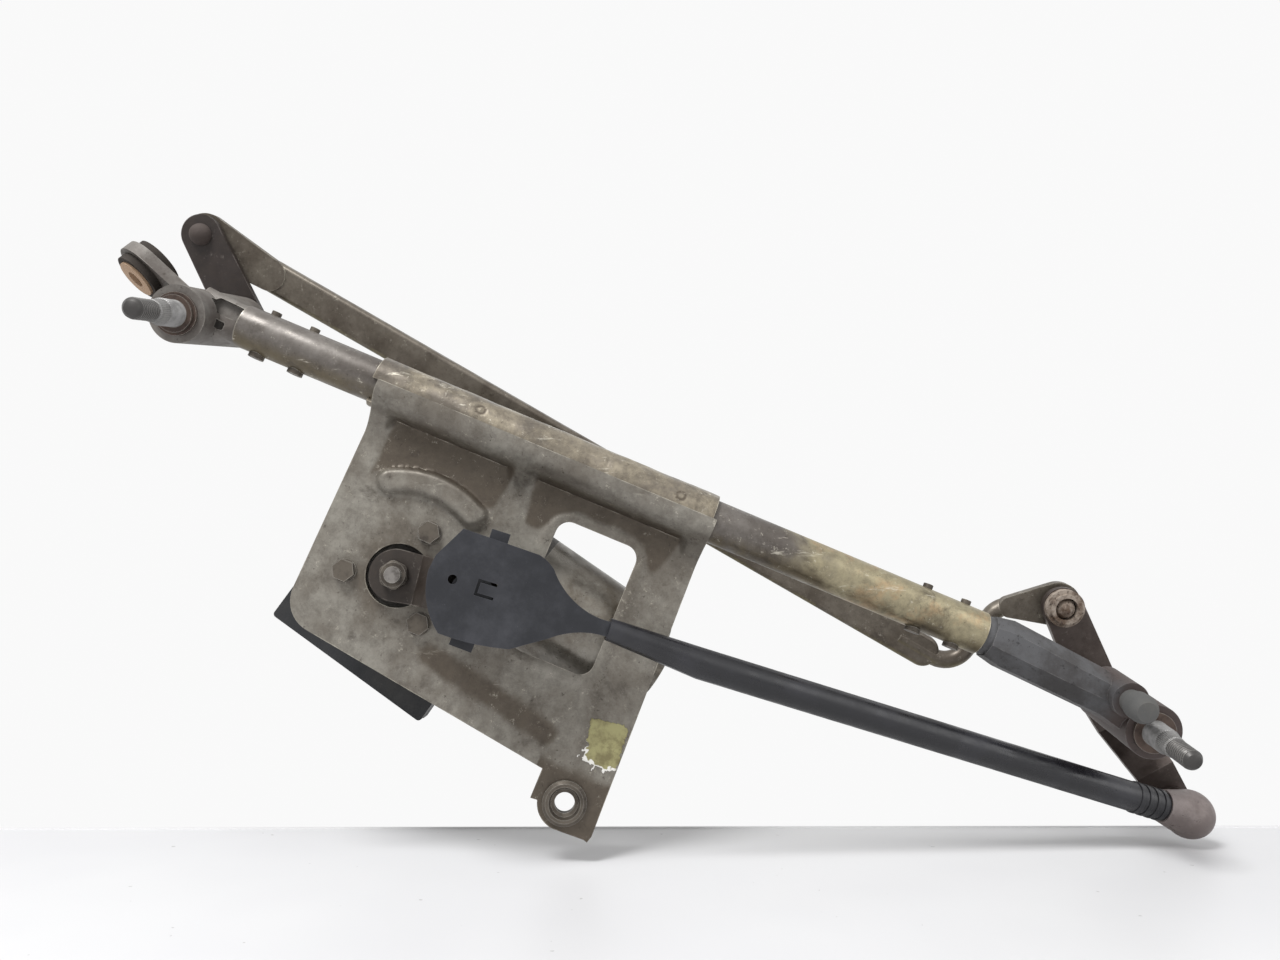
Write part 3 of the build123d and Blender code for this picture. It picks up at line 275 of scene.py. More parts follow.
def glossy_sleeve(name):
    """Heat-shrunk black sleeve with faint blotches, fine scratches and a pale scuff or two."""
    skin = Surface(name, 0.28)
    body = skin.mix(skin.span(skin.noise(30, 6), 0.4, 0.7), srgb(25, 25, 29), srgb(42, 42, 47))
    lines = skin.noise(60, 8, 0.8, place=skin.stretched(16.3, (0.06, 1.0, 1.0)))
    body = skin.mix(skin.math("MULTIPLY", skin.span(lines, 0.60, 0.70), 0.35), body, srgb(120, 120, 120))
    marks = skin.span(skin.noise(75, 3, 0.5), 0.76, 0.79)
    skin.set(skin.shader, "Base Color", skin.mix(marks, body, srgb(200, 195, 185)))
    skin.set(skin.shader, "Roughness", skin.span(skin.noise(90, 7), 0.3, 0.7, 0.22, 0.46))
    skin.bump(skin.noise(300, 4, 0.6), 0.05 * mm, 0.5)


def plain_copper(name, clean, dark):
    """Copper, brass or bronze with darker blotches."""
    skin = Surface(name, 0.4, 0.8)
    skin.set(skin.shader, "Base Color", skin.mix(skin.span(skin.noise(200, 6), 0.4, 0.65), clean, dark))
    skin.bump(skin.noise(600, 3), 0.03 * mm, 0.5)


def torn_label(name, face, paper, dirt):
    """Bare generic sticker: faded face, white torn paper where the mesh's shade is high."""
    skin = Surface(name, 0.6)
    colour = skin.mix(skin.span(skin.noise(130, 7, 0.7), 0.4, 0.65), face, dirt)
    colour = skin.mix(skin.span(skin.painted_share(), 0.35, 0.6), colour, paper)
    grime = skin.math("MULTIPLY", skin.span(skin.noise(300, 5, 0.7), 0.60, 0.68), 0.8)
    skin.set(skin.shader, "Base Color", skin.mix(grime, colour, dirt))
    skin.bump(skin.noise(260, 6, 0.7), 0.15 * mm, 0.7)
    return skin.material


def make_finishes():
    """One finish for each slot of the record, and a few for single pieces."""
    soil = srgb(58, 50, 43)
    shine = srgb(222, 216, 200)
    rubbed = srgb(190, 186, 178)
    steel_dirt = srgb(54, 48, 43)
    # Brown of dirt and painted shade for the bracket's sheet and wrap.
    film = srgb(85, 76, 65)
    plated(
        "bracket_zinc", srgb(141, 137, 128), srgb(111, 105, 96), soil, shine,
        0.25, 0.65, 0.45, 0.4, film=film,
    )
    plated(
        "wrap_zinc", srgb(160, 150, 131), srgb(106, 99, 90), soil, shine,
        0.8, 0.8, 0.33, 0.5, film=film,
    )
    plated(
        "tube_zinc", srgb(112, 107, 102), srgb(88, 82, 77), soil, shine,
        0.6, 0.7, 0.46, 0.35, far=(srgb(160, 151, 124), srgb(172, 146, 112)), under=srgb(98, 88, 68),
    )
    plated(
        "cross_zinc", srgb(112, 105, 95), srgb(84, 76, 67), soil, shine,
        0.3, 0.65, 0.42, 0.45, under=srgb(112, 104, 78),
    )
    plated(
        "lever_steel", srgb(58, 50, 47), srgb(42, 36, 34), soil, srgb(150, 142, 136),
        0.15, 0.5, far=(srgb(84, 75, 71), srgb(64, 55, 51)),
    )
    plated("crank_steel", srgb(62, 54, 48), srgb(44, 38, 34), soil, srgb(176, 168, 158), 0.2, 0.7)
    plated("yoke_steel", srgb(132, 128, 120), srgb(100, 92, 80), soil, rubbed, 0.1, 0.3, 0.36, 0.6)
    casting("left_casting", srgb(118, 114, 109), srgb(88, 82, 77), soil, rubbed)
    casting(
        "right_casting", srgb(88, 88, 90), srgb(64, 62, 62), srgb(42, 41, 41), srgb(150, 148, 146),
        far=srgb(70, 58, 54),
    )
    casting("gear_casting", srgb(104, 102, 98), srgb(84, 80, 76), soil, srgb(165, 162, 155))
    casting("bulb_steel", srgb(146, 136, 133), srgb(116, 106, 103), soil, srgb(176, 168, 164), 0.5)
    casting("magnet_ferrite", srgb(60, 60, 62), srgb(50, 50, 52), srgb(38, 38, 38), srgb(90, 90, 90))
    rusty("cup_rust", srgb(92, 74, 60), srgb(168, 156, 144), srgb(58, 44, 36), srgb(70, 61, 57))
    turned_steel("fixing_steel", srgb(94, 87, 78), steel_dirt, 0.42, 0.5)
    turned_steel("spindle_steel", srgb(142, 141, 140), srgb(48, 45, 43), 0.36, 0.6, 0.5)
    turned_steel("shaft_steel", srgb(132, 128, 124), steel_dirt)
    turned_steel("rod_steel", srgb(70, 70, 72), steel_dirt, 0.5)
    turned_steel("core_steel", srgb(95, 95, 95), steel_dirt, 0.5)
    turned_steel("ring_steel", srgb(88, 74, 66), srgb(54, 44, 40), 0.4, 0.5)
    plain_copper("bush_bronze", srgb(150, 120, 80), srgb(96, 74, 50))
    plain_copper("contact_brass", srgb(198, 160, 92), srgb(140, 106, 60))
    plain_copper("winding_copper", srgb(176, 96, 52), srgb(120, 58, 32))
    moulded("grommet_rubber", srgb(52, 47, 43), srgb(96, 88, 78), 0.8, 0.5)
    moulded("pin_rubber", srgb(88, 88, 87), srgb(116, 112, 106), 0.75, 0.5)
    moulded("sleeve_tan", srgb(174, 146, 120), srgb(120, 100, 80), 0.6, 0.7)
    moulded("lid_plastic", srgb(46, 47, 49), srgb(80, 78, 75), 0.55, 0.45)
    moulded("holder_plastic", srgb(60, 54, 46), srgb(84, 78, 70), 0.6)
    moulded("wheel_plastic", srgb(206, 200, 182), srgb(160, 150, 128), 0.5)
    moulded("socket_plastic", srgb(40, 41, 45), srgb(84, 85, 90), 0.42, 0.4)
    glossy_sleeve("sleeve_plastic")


def dress_nodes():
    """Gives each node its slot's finish, and the bulb and the tube's pins another."""
    slots = {row["node"]: row["material_slot"] for row in frame["record"]["subparts"]}
    slots.update({"lever_socket": "bulb_steel", "tube_pins": "fixing_steel"})
    for name, node in frame["nodes"].items():
        node.data.materials.clear()
        node.data.materials.append(finishes[slots[name]])


# Mesh helpers

def mesh_object(name, vertices, faces, material, smooth=True):
    """Piece of one material, with its normals outward."""
    mesh = bpy.data.meshes.new(name)
    mesh.from_pydata([tuple(v) for v in vertices], [], faces)
    shell = bmesh.new()
    shell.from_mesh(mesh)
    bmesh.ops.recalc_face_normals(shell, faces=shell.faces)
    shell.to_mesh(mesh)
    shell.free()
    for face in mesh.polygons:
        face.use_smooth = smooth
    piece = bpy.data.objects.new(name, mesh)
    bpy.context.scene.collection.objects.link(piece)
    mesh.materials.append(material)
    return piece


def add_shade(piece, values):
    """Writes the value of each vertex that a material's film, dirt and painted shade follow."""
    layer = piece.data.attributes.new("shade", "FLOAT", "POINT")
    layer.data.foreach_set("value", np.ascontiguousarray(values, np.float32))


def sharpen(piece, angle):
    """Keeps edges crisp where two faces meet at more than the angle."""
    piece.data.set_sharp_from_angle(angle=radians(angle))


def end_along(node, place, axis):
    """Lowest station of a node along an axis through a place."""
    return min((v.co - place).dot(axis) for v in node.data.vertices)


def mount(name):
    """Place, axis and dimensions of one of the record's mounts."""
    found = [m for m in frame["record"]["mounts"] if m["name"] == name][0]
    return Vector(found["pos_m"]), Vector(found["axis"]).normalized(), found["dims"]


def frame_along(origin, axis):
    """Matrix with Z along the axis, at the origin."""
    turn = Vector((0, 0, 1)).rotation_difference(axis)
    return Matrix.Translation(origin) @ turn.to_matrix().to_4x4()


def turned_mesh(name, place, rows, radius_at, columns, material):
    """Closed turned body, with rows of stations along Z. radius_at takes a turn and a station."""
    vertices = []
    faces = []
    for station in rows:
        for i in range(columns):
            turn = 2 * pi * i / columns
            r = radius_at(turn, station)
            vertices.append(place @ Vector((r * cos(turn), r * sin(turn), station)))
    for j in range(len(rows) - 1):
        for i in range(columns):
            k = (i + 1) % columns
            low, high = j * columns, (j + 1) * columns
            faces.append((low + i, low + k, high + k, high + i))
    faces.append(tuple(reversed(range(columns))))
    faces.append(tuple(range((len(rows) - 1) * columns, len(rows) * columns)))
    return mesh_object(name, vertices, faces, material)


# Spindles with their rolled thread and knurled cone

thread_pitch = 1.5 * mm
thread_depth = 0.55 * mm
thread_length = 17.0 * mm
thread_run_in = 1.0 * mm
thread_run_out = 0.4 * mm
thread_rows = 120
tip_taper = 1.5 * mm
taper_slope = 0.8
tip_rows = (0.9 * mm, 0.4 * mm, 0.0)
knurl_teeth = 40
knurl_depth = 0.3 * mm
knurl_length = 8.0 * mm
knurl_radius = 6.0 * mm
knurl_over_thread = 0.3 * mm
knurl_rows = 8
spindle_radius = 6.5 * mm
tail_radius = 4.5 * mm
tail_length = 5.2 * mm
spindle_columns = 160
row_gap = 1e-6
thread_darkening = 0.4
most_thread_darkening = 0.85


def triangle_wave(value):
    """Wave between 0 and 1 that repeats at every whole number."""
    return abs(2 * (value - floor(value)) - 1)


def threaded_spindle(side, body, material):
    """Spindle with its tail, round shank, knurled cone and threaded end, in place of the plain node."""
    node = side + "_spindle"
    place, axis, dims = mount(side + "_wiper_spindle")
    thread_radius = dims["r_mm"] * mm
    tip = dims["length_mm"] * mm / 2 + tip_taper
    thread_top = tip - tip_taper
    foot = tip - thread_length
    knurl_foot = foot - knurl_length
    low = end_along(frame["nodes"][node], place, axis)
    seat = low + tail_length

    def radius_at(turn, s):
        if s <= seat - row_gap:
            return tail_radius
        if s < knurl_foot:
            return spindle_radius
        if s < foot:
            share = (s - knurl_foot) / knurl_length
            cone = knurl_radius + (thread_radius + knurl_over_thread - knurl_radius) * share
            return cone - knurl_depth * triangle_wave(turn / (2 * pi) * knurl_teeth)
        if s > thread_top:
            return thread_radius - thread_depth - (s - thread_top) * taper_slope
        fade = min(1.0, (s - foot) / thread_run_in, (thread_top - s) / thread_run_out)
        crest = 1 - triangle_wave(s / thread_pitch - turn / (2 * pi))
        return thread_radius - thread_depth * (1 - fade * crest)

    rows = [low, seat - 2 * row_gap, seat, knurl_foot - row_gap, knurl_foot]
    rows += [knurl_foot + knurl_length * (i + 1) / knurl_rows for i in range(knurl_rows - 1)]
    rows += [foot - row_gap, foot]
    rows += [foot + (thread_top - foot) * (i + 1) / thread_rows for i in range(thread_rows)]
    rows += [tip - drop for drop in tip_rows]
    station = frame_along(place, axis)
    piece = turned_mesh(node + "_threaded", station, rows, radius_at, spindle_columns, material)
    along = [(v.co - place).dot(axis) for v in piece.data.vertices]
    off_axis = [((v.co - place) - axis * s).length for v, s in zip(piece.data.vertices, along)]
    # Darker all along the thread, and darker still toward its roots as painted shade in the groove.
    roots = [(thread_radius - r) / thread_depth for r in off_axis]
    dirt = [thread_darkening + root if s > foot else 0.0 for s, root in zip(along, roots)]
    add_shade(piece, np.clip(dirt, 0.0, most_thread_darkening))
    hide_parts(node)
    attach(piece, body)


# Pressed bracket, one soft-edged sheet, in its own layout and millimetres: across, up and forward

tilt = 22.4
sheet_thickness = 2.3
sheet_front = 1.25
tube_forward = 6.0
tube_rise = 156.0
wrap_radius = 13.5
wrap_cover = 0.05
wrap_left = -168.0
wrap_right = 14.0
plate_left = -165.0
plate_right = 18.5
plate_top_right = 16.0
foot_left_rise = 31.0
foot_right_rise = 11.0
foot_corner = 17.0
tab_left = -16.5
tab_low = -4.0
tab_round = 13.5
tip_drop = 14.0
tip_corners = [(3.0, 1.2), (1.0, 0.6), (0.0, 4.0)]
shaft_place = (-120.0, 70.5)
shaft_hole = 16.0
shaft_hole_sides = 72
bush_hole = 8.5
bush_hole_sides = 48
edge_room = 0.6
hole_slack = 0.05
window_left = -56.0
window_right = -12.5
window_bottom = 59.5
window_top = 128.5
window_corner = 7.0
grid_step = 1.25
grid_inset = 0.8
crisp_angle = 50
recess_depth = 4.0
recess_ramp = 6.0
rib_left = -149.0
rib_middle = -83.0
rib_right = 1.0
rib_ramp = 8.0
rib_half_width = 9.0
foot_run = 16.0
rib_foot_run = 10.0
plain_foot_share = 0.25
bean_radius = 48.0
bean_room = 5.2
bean_half_width = 7.5
bean_height = 4.6
bean_start = 62.0
bean_sweep = 56.0
groove_from = (-90.0, 41.0)
groove_to = (-22.0, 27.5)
groove_half_width = 7.0
groove_depth = 3.2
lip_height = 0.8
lip_inset = 3.0
lip_half_width = 5.0
drum_blend = 3.0


def row_place(across, up, forward):
    """Row-frame place of a point of the bracket's layout, in metres."""
    turn = radians(tilt)
    return (
        (across * cos(turn) + up * sin(turn)) * mm,
        -forward * mm,
        (-across * sin(turn) + up * cos(turn)) * mm,
    )


def smooth(value):
    """Soft step from 0 at 0 to 1 at 1."""
    value = np.clip(value, 0.0, 1.0)
    return value * value * (3 - 2 * value)


def shaft_distance(across, up):
    return np.hypot(across - shaft_place[0], up - shaft_place[1])


def segment_distance(across, up, start, end):
    run = (end[0] - start[0], end[1] - start[1])
    length = run[0] ** 2 + run[1] ** 2
    share = np.clip(((across - start[0]) * run[0] + (up - start[1]) * run[1]) / length, 0, 1)
    return np.hypot(across - start[0] - share * run[0], up - start[1] - share * run[1])


def inside_depth(across, up, corners, corner_radius):
    """Depth inside a rounded outline given by the centres of its corners. Negative outside."""
    nearest = np.full(across.shape, 1e9)
    crossed = np.zeros(across.shape, bool)
    for (x0, y0), (x1, y1) in zip(corners, corners[1:] + corners[:1]):
        nearest = np.minimum(nearest, segment_distance(across, up, (x0, y0), (x1, y1)))
        spans = (y0 > up) != (y1 > up)
        rise = y1 - y0 if y1 != y0 else 1.0
        crossed ^= spans & (across < (x1 - x0) * (up - y0) / rise + x0)
    return np.where(crossed, nearest, -nearest) + corner_radius


def left_recess_depth(across, up):
    area = [(-150.0, 139.5), (-89.5, 139.5), (-93.0, 122.0), (-147.5, 99.0), (-150.5, 100.0)]
    depth = inside_depth(across, up, area, 3.5)
    return np.minimum(depth, shaft_distance(across, up) - bean_radius - bean_room)


def right_recess_depth(across, up):
    area = [(-73.0, 140.5), (2.0, 140.5), (0.0, 134.0), (-3.5, 123.5), (-9.5, 134.0), (-18.0, 137.0)]
    area += [(-52.0, 137.0), (-61.0, 130.5), (-66.0, 121.5), (-70.0, 121.5)]
    return inside_depth(across, up, area, 3.0)


def bean_distance(across, up):
    """Distance from the arc that the bead follows round the shaft."""
    x = across - shaft_place[0]
    y = up - shaft_place[1]
    turn = np.degrees(np.arctan2(y, x))
    on_arc = (turn > bean_start) & (turn < bean_start + bean_sweep)
    ends = []
    for angle in (bean_start, bean_start + bean_sweep):
        ends.append(np.hypot(x - bean_radius * cos(radians(angle)), y - bean_radius * sin(radians(angle))))
    return np.where(on_arc, np.abs(np.hypot(x, y) - bean_radius), np.minimum(*ends))


def rib_share(across):
    """Share of the full rib height: 1 on the left edge, the middle rib and the right edge."""
    left = smooth((rib_left - across) / rib_ramp)
    middle = smooth(1.3 - np.abs(across - rib_middle) / rib_half_width)
    right = smooth((across - rib_right) / rib_ramp)
    return np.maximum(left, np.maximum(middle, right))


def sheet_height(across, up):
    """Forward height of the sheet's front face."""
    height = np.full(across.shape, sheet_front)
    for depth in (left_recess_depth(across, up), right_recess_depth(across, up)):
        height -= recess_depth * smooth(depth / recess_ramp + 0.25)
    groove = segment_distance(across, up, groove_from, groove_to)
    height -= groove_depth * smooth(1.15 - groove / groove_half_width)
    bean = 1 - (bean_distance(across, up) / (bean_half_width + 0.8)) ** 2
    height += bean_height * smooth(np.clip(bean, 0, 1) * 1.25)
    height += lip_height * smooth(1 - np.abs(window_depth(across, up) + lip_inset) / lip_half_width)
    rib = rib_share(across)
    foot = foot_run + rib_foot_run * rib
    top_forward = tube_forward + wrap_radius
    reach = np.clip((up - tube_rise + foot) / foot, 0, 1)
    web_share = smooth(reach) * (plain_foot_share + (1 - plain_foot_share) * rib)
    web = sheet_front + (top_forward - sheet_front) * web_share
    level = np.sqrt(np.maximum(wrap_radius ** 2 - (up - tube_rise) ** 2, 0.0))
    drum = np.where(np.abs(up - tube_rise) < wrap_radius, tube_forward + level, -20.0)
    base = np.maximum(height, web)
    gap = np.clip(0.5 + (drum - base) / (2 * drum_blend), 0, 1)
    joined = base + (drum - base) * gap + drum_blend * gap * (1 - gap)
    return np.minimum(joined, top_forward - wrap_cover)


def window_depth(across, up):
    """Depth inside the window. Negative on the sheet."""
    r = window_corner
    corners = [
        (window_left + r, window_bottom + r), (window_right - r, window_bottom + r),
        (window_right - r, window_top - r), (window_left + r, window_top - r),
    ]
    return inside_depth(across, up, corners, r)


def arc_points(centre, radius, start, sweep, steps):
    turns = [radians(start + sweep * i / steps) for i in range(steps + 1)]
    return [(centre[0] + radius * cos(a), centre[1] + radius * sin(a)) for a in turns]


def outer_loop():
    """Outline of the sheet below the tube, with its round corner, tab and pointed tip."""
    slope = (foot_right_rise - foot_left_rise) / (tab_left - plate_left)
    lean = degrees(atan2(slope, 1.0))
    c = foot_corner
    corner_rise = foot_left_rise + slope * c + c / cos(radians(lean))
    loop = [(plate_top_right, tube_rise), (plate_left, tube_rise)]
    loop += arc_points((plate_left + c, corner_rise), c, 180, 90 + lean, 10)
    loop += [(tab_left, foot_right_rise), (tab_left, tab_low)]
    loop += arc_points((0, 0), tab_round, 196, 78, 12)
    loop += [(plate_right - x, y - tip_drop) for x, y in tip_corners]
    return loop


def window_loop():
    r = window_corner
    loop = []
    for x, y, start in (
        (window_right - r, window_top - r, 0), (window_left + r, window_top - r, 90),
        (window_left + r, window_bottom + r, 180), (window_right - r, window_bottom + r, 270),
    ):
        loop += arc_points((x, y), r, start, 90, 8)
    return loop


def refined(loop, step):
    """The loop with its long sides cut into steps."""
    points = []
    for (x0, y0), (x1, y1) in zip(loop, loop[1:] + loop[:1]):
        count = max(1, int(hypot(x1 - x0, y1 - y0) / step))
        points += [(x0 + (x1 - x0) * i / count, y0 + (y1 - y0) * i / count) for i in range(count)]
    return points


def on_sheet(across, up, outline, room, hole_room):
    """Whether places are on the sheet, with room to its edges and to its round holes."""
    kept = inside_depth(across, up, outline, 0.0) > room
    kept &= window_depth(across, up) < -room
    kept &= shaft_distance(across, up) > shaft_hole + hole_room
    kept &= np.hypot(across, up) > bush_hole + hole_room
    return kept


def sheet_cells():
    """Flat triangulation of the sheet, with its holes left out: points and faces."""
    loops = [refined(outer_loop(), grid_step), refined(window_loop(), grid_step)]
    loops.append(arc_points(shaft_place, shaft_hole, 0, 360, shaft_hole_sides)[:-1])
    loops.append(arc_points((0, 0), bush_hole, 0, 360, bush_hole_sides)[:-1])
    points = [p for loop in loops for p in loop]
    edges = []
    start = 0
    for loop in loops:
        count = len(loop)
        edges += [(start + i, start + (i + 1) % count) for i in range(count)]
        start += count
    columns = np.arange(plate_left + grid_inset, plate_right, grid_step)
    rows = np.arange(-tip_drop + grid_inset, tube_rise, grid_step)
    across, up = np.meshgrid(columns, rows)
    across = across.ravel()
    up = up.ravel()
    keep = on_sheet(across, up, loops[0], edge_room, edge_room)
    points += list(zip(across[keep].tolist(), up[keep].tolist()))
    result = delaunay_2d_cdt([Vector(p) for p in points], edges, [], 0, 1e-5)
    flat = np.array([(p.x, p.y) for p in result[0]])
    middles = np.array([flat[list(face)].mean(axis=0) for face in result[2]])
    inside = on_sheet(middles[:, 0], middles[:, 1], loops[0], 0.0, -hole_slack)
    return flat, [tuple(face) for face, kept in zip(result[2], inside) if kept]


def sheet_normals(across, up):
    """Normal of the front face, from its slopes over a small step each way."""
    e = 0.3
    slope_x = (sheet_height(across + e, up) - sheet_height(across - e, up)) / (2 * e)
    slope_y = (sheet_height(across, up + e) - sheet_height(across, up - e)) / (2 * e)
    steep = np.sqrt(1 + slope_x ** 2 + slope_y ** 2)
    return -slope_x / steep, -slope_y / steep, 1 / steep


def bracket_sheet(material):
    """Front and back faces of the sheet, a thickness apart, joined along every rim."""
    flat, faces = sheet_cells()
    across, up = flat[:, 0], flat[:, 1]
    height = sheet_height(across, up)
    nx, ny, nz = sheet_normals(across, up)
    t = sheet_thickness
    front = [row_place(*p) for p in zip(across, up, height)]
    back = [row_place(*p) for p in zip(across - nx * t, np.minimum(up - ny * t, tube_rise), height - nz * t)]
    count = len(front)
    sides = [side for face in faces for side in zip(face, face[1:] + face[:1])]
    used = set(sides)
    rims = [(a, b) for a, b in sides if (b, a) not in used]
    solid_faces = [tuple(reversed(face)) for face in faces]
    solid_faces += [tuple(i + count for i in face) for face in faces]
    solid_faces += [(a, b, b + count, a + count) for a, b in rims]
    piece = mesh_object("bracket_sheet", front + back, solid_faces, material)
    # Shade value for the sheet's brown dirt film and painted shade, the same on both faces.
    add_shade(piece, np.concatenate([film_and_painted_shade_share(across, up)] * 2))
    sharpen(piece, crisp_angle)
    return piece


def film_and_painted_shade_share(across, up):
    """How brown the sheet is, as dirt film and painted shade together: 1 in the recesses and on the tab, and
    less in the groove, by the bead and round the shaft.
    """
    share = 0.0 * across
    # Painted shade with dirt in the recesses.
    for depth in (left_recess_depth(across, up), right_recess_depth(across, up)):
        share = np.maximum(share, smooth(depth / 5.5 + 0.45))
    # Painted shade with dirt along the groove.
    groove = segment_distance(across, up, groove_from, groove_to)
    share = np.maximum(share, 0.9 * smooth(1.2 - groove / 8.5))
    hub = shaft_distance(across, up)
    # Painted shadow under the bead.
    painted_bean_shadow = np.clip((bean_radius - 7.0 - hub) / 5.0, 0, 1)
    painted_bean_shadow = painted_bean_shadow * smooth(1.7 - bean_distance(across, up) / 9.0)
    share = np.maximum(share, 0.8 * painted_bean_shadow)
    share = np.maximum(share, 0.5 * smooth(1.6 - hub / 26.0))
    # Painted shade on the tab, darker toward its bottom.
    tab = smooth((22.0 - up) / 13.0) * (across > -20)
    return np.maximum(share, tab)


# The sheet's turn round the tube, in the bracket's layout and millimetres

wrap_marks = ((-113.0, 25.0), (-5.0, 20.0))
mark_radius = 2.3
mark_half_width = 1.1
mark_depth = 0.45
crease_place = -45.0
crease_half_width = 1.2
crease_depth = 0.5
crease_end = 1.4
wrap_inner_radius = 11.02
bulge_room = 0.35
most_bulge = 0.3
wrap_start = -2.0
wrap_sweep = 300.0
wrap_length_steps = 150
wrap_turn_steps = 64


def mark_share(x, turn):
    """How much of a pressed ring mark is at a place on the wrap, from 0 to 1."""
    share = 0.0
    for mark_x, mark_turn in wrap_marks:
        away = hypot(x - mark_x, wrap_radius * radians(degrees(turn) - mark_turn))
        share = max(share, 1 - abs(away - mark_radius) / mark_half_width)
    return share


def wrap_dent(x, turn):
    """Slight waves, the ring marks and a crease across the front, outward from the wrap's round."""
    dent = noise.noise(Vector((x * 0.045, 3.0 * cos(turn), 3.0 * sin(turn)))) * 0.35
    dent += noise.noise(Vector((x * 0.14, 5.0 * cos(turn), 5.0 * sin(turn) + 7.0))) * 0.15
    dent -= mark_depth * mark_share(x, turn)
    if turn < crease_end:
        dent -= crease_depth * max(0.0, 1 - abs(x - crease_place) / crease_half_width)
    return dent


def wrap_place(x, turn, radius):
    return row_place(x, tube_rise + radius * sin(turn), tube_forward + radius * cos(turn))


def wall_faces(length_steps, turn_steps, count):
    """Faces of an open tube wall: its outside, its inside, count points on, and its four rims."""
    columns = turn_steps + 1
    faces = []
    for i in range(length_steps):
        for j in range(turn_steps):
            a = i * columns + j
            faces.append((a, a + 1, a + columns + 1, a + columns))
            faces.append((count + a, count + a + columns, count + a + columns + 1, count + a + 1))
    for i in range(length_steps):
        for j, order in ((0, 1), (turn_steps, -1)):
            a = i * columns + j
            faces.append((a, a + columns, a + columns + count, a + count)[::order])
    for i, order in ((0, -1), (length_steps, 1)):
        for j in range(turn_steps):
            a = i * columns + j
            faces.append((a, a + 1, a + 1 + count, a + count)[::order])
    return faces


def wrap_sleeve(material):
    """The wrap, with brown film and painted shade along its lower front edge, where it meets the sheet, and
    brown film in the marks.
    """
    outer = []
    inner = []
    shade = []
    for i in range(wrap_length_steps + 1):
        x = wrap_left + (wrap_right - wrap_left) * i / wrap_length_steps
        for j in range(wrap_turn_steps + 1):
            turn = radians(wrap_start + wrap_sweep * j / wrap_turn_steps)
            bulge = min(wrap_dent(x, turn), most_bulge)
            outer.append(wrap_place(x, turn, wrap_radius - bulge_room + bulge))
            inner.append(wrap_place(x, turn, wrap_inner_radius))
            # Painted shade with brown film along the lower front edge, in the crease where the wrap meets
            # the sheet.
            low_edge_film_and_shade = 0.35 - (wrap_radius * sin(turn) + 2) / 12.0 if turn < 1 else 0.0
            shade.append(max(0.0, low_edge_film_and_shade, mark_share(x, turn)))
    faces = wall_faces(wrap_length_steps, wrap_turn_steps, len(outer))
    piece = mesh_object("bracket_wrap", outer + inner, faces, material)
    add_shade(piece, np.array(shade * 2))
    sharpen(piece, crisp_angle)
    return piece


# Torn sticker on the sheet, above the tab, in the bracket's layout and millimetres

label_corners = [(13.0, 45.3), (15.8, 43.5), (17.2, 24.0), (12.2, 20.8), (6.4, 21.4)]
label_corners += [(-1.6, 22.8), (-0.8, 29.0), (-2.2, 36.0), (-3.8, 42.4)]
label_across = (-5.5, 18.4)
label_up = (19.0, 47.5)
label_step = 0.5
label_thickness = 0.15
label_lift = 0.05


def torn_sticker(material):
    """Thin patch with a ragged outline, whose lower left has lost its face and shows white paper."""
    across, up = np.meshgrid(np.arange(*label_across, label_step), np.arange(*label_up, label_step))
    rows, columns = across.shape
    ragged = [noise.noise(Vector((x * 0.55, y * 0.55, 4.0))) for x, y in zip(across.ravel(), up.ravel())]
    ragged = np.array(ragged).reshape(across.shape)
    height = sheet_height(across, up) + label_lift
    low_share = smooth((34.0 - up - 0.35 * across) / 8.0)
    depth = inside_depth(across, up, label_corners, 0.4) + (0.9 + 3.2 * low_share) * ragged
    border = smooth(1.2 - depth / (0.7 + 2.6 * low_share))
    white = border * (0.3 + 0.7 * low_share) + 0.5 * ragged * low_share
    points = []
    for level in (label_thickness, 0.0):
        points += [row_place(*p) for p in zip(across.ravel(), up.ravel(), height.ravel() + level)]
    squares = [(j, i) for j in range(rows - 1) for i in range(columns - 1)]
    kept = {(j, i) for j, i in squares if depth[j:j + 2, i:i + 2].min() > 0}
    count = rows * columns
    faces = []
    for j, i in sorted(kept):
        a = j * columns + i
        ring = (a, a + 1, a + columns + 1, a + columns)
        faces += [ring, tuple(reversed([v + count for v in ring]))]
        beside = ((j - 1, i), (j, i + 1), (j + 1, i), (j, i - 1))
        for near, u, v in zip(beside, ring, ring[1:] + ring[:1]):
            if near not in kept:
                faces.append((v, u, u + count, v + count))
    piece = mesh_object("torn_sticker", points, faces, material)
    add_shade(piece, np.concatenate([white.ravel()] * 2))
    shell = bmesh.new()
    shell.from_mesh(piece.data)
    bmesh.ops.delete(shell, geom=[v for v in shell.verts if not v.link_faces], context="VERTS")
    shell.to_mesh(piece.data)
    shell.free()
    return piece


def dress_bracket():
    """The sheet and its wrap in place of the plain bracket, and the sticker on them."""
    sheet = bracket_sheet(finishes["bracket_zinc"])
    wrap = wrap_sleeve(finishes["wrap_zinc"])
    for piece in (sheet, wrap):
        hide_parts("bracket_plate")
        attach(piece, "frame")
    face, paper = srgb(158, 153, 108), srgb(236, 234, 228)
    sticker = torn_sticker(torn_label("torn_label", face, paper, srgb(120, 112, 76)))
    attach(sticker, "frame")


# Camera, with its turn and pitch in degrees and its focal length in pixels of the photo's width

focal_pixels = 972.0
frame_width = 1280.0
sensor_width = 36.0
camera_place = Vector((0.0069, -0.4954, 0.0991))
camera_turn = -3.5
camera_pitch = 7.0


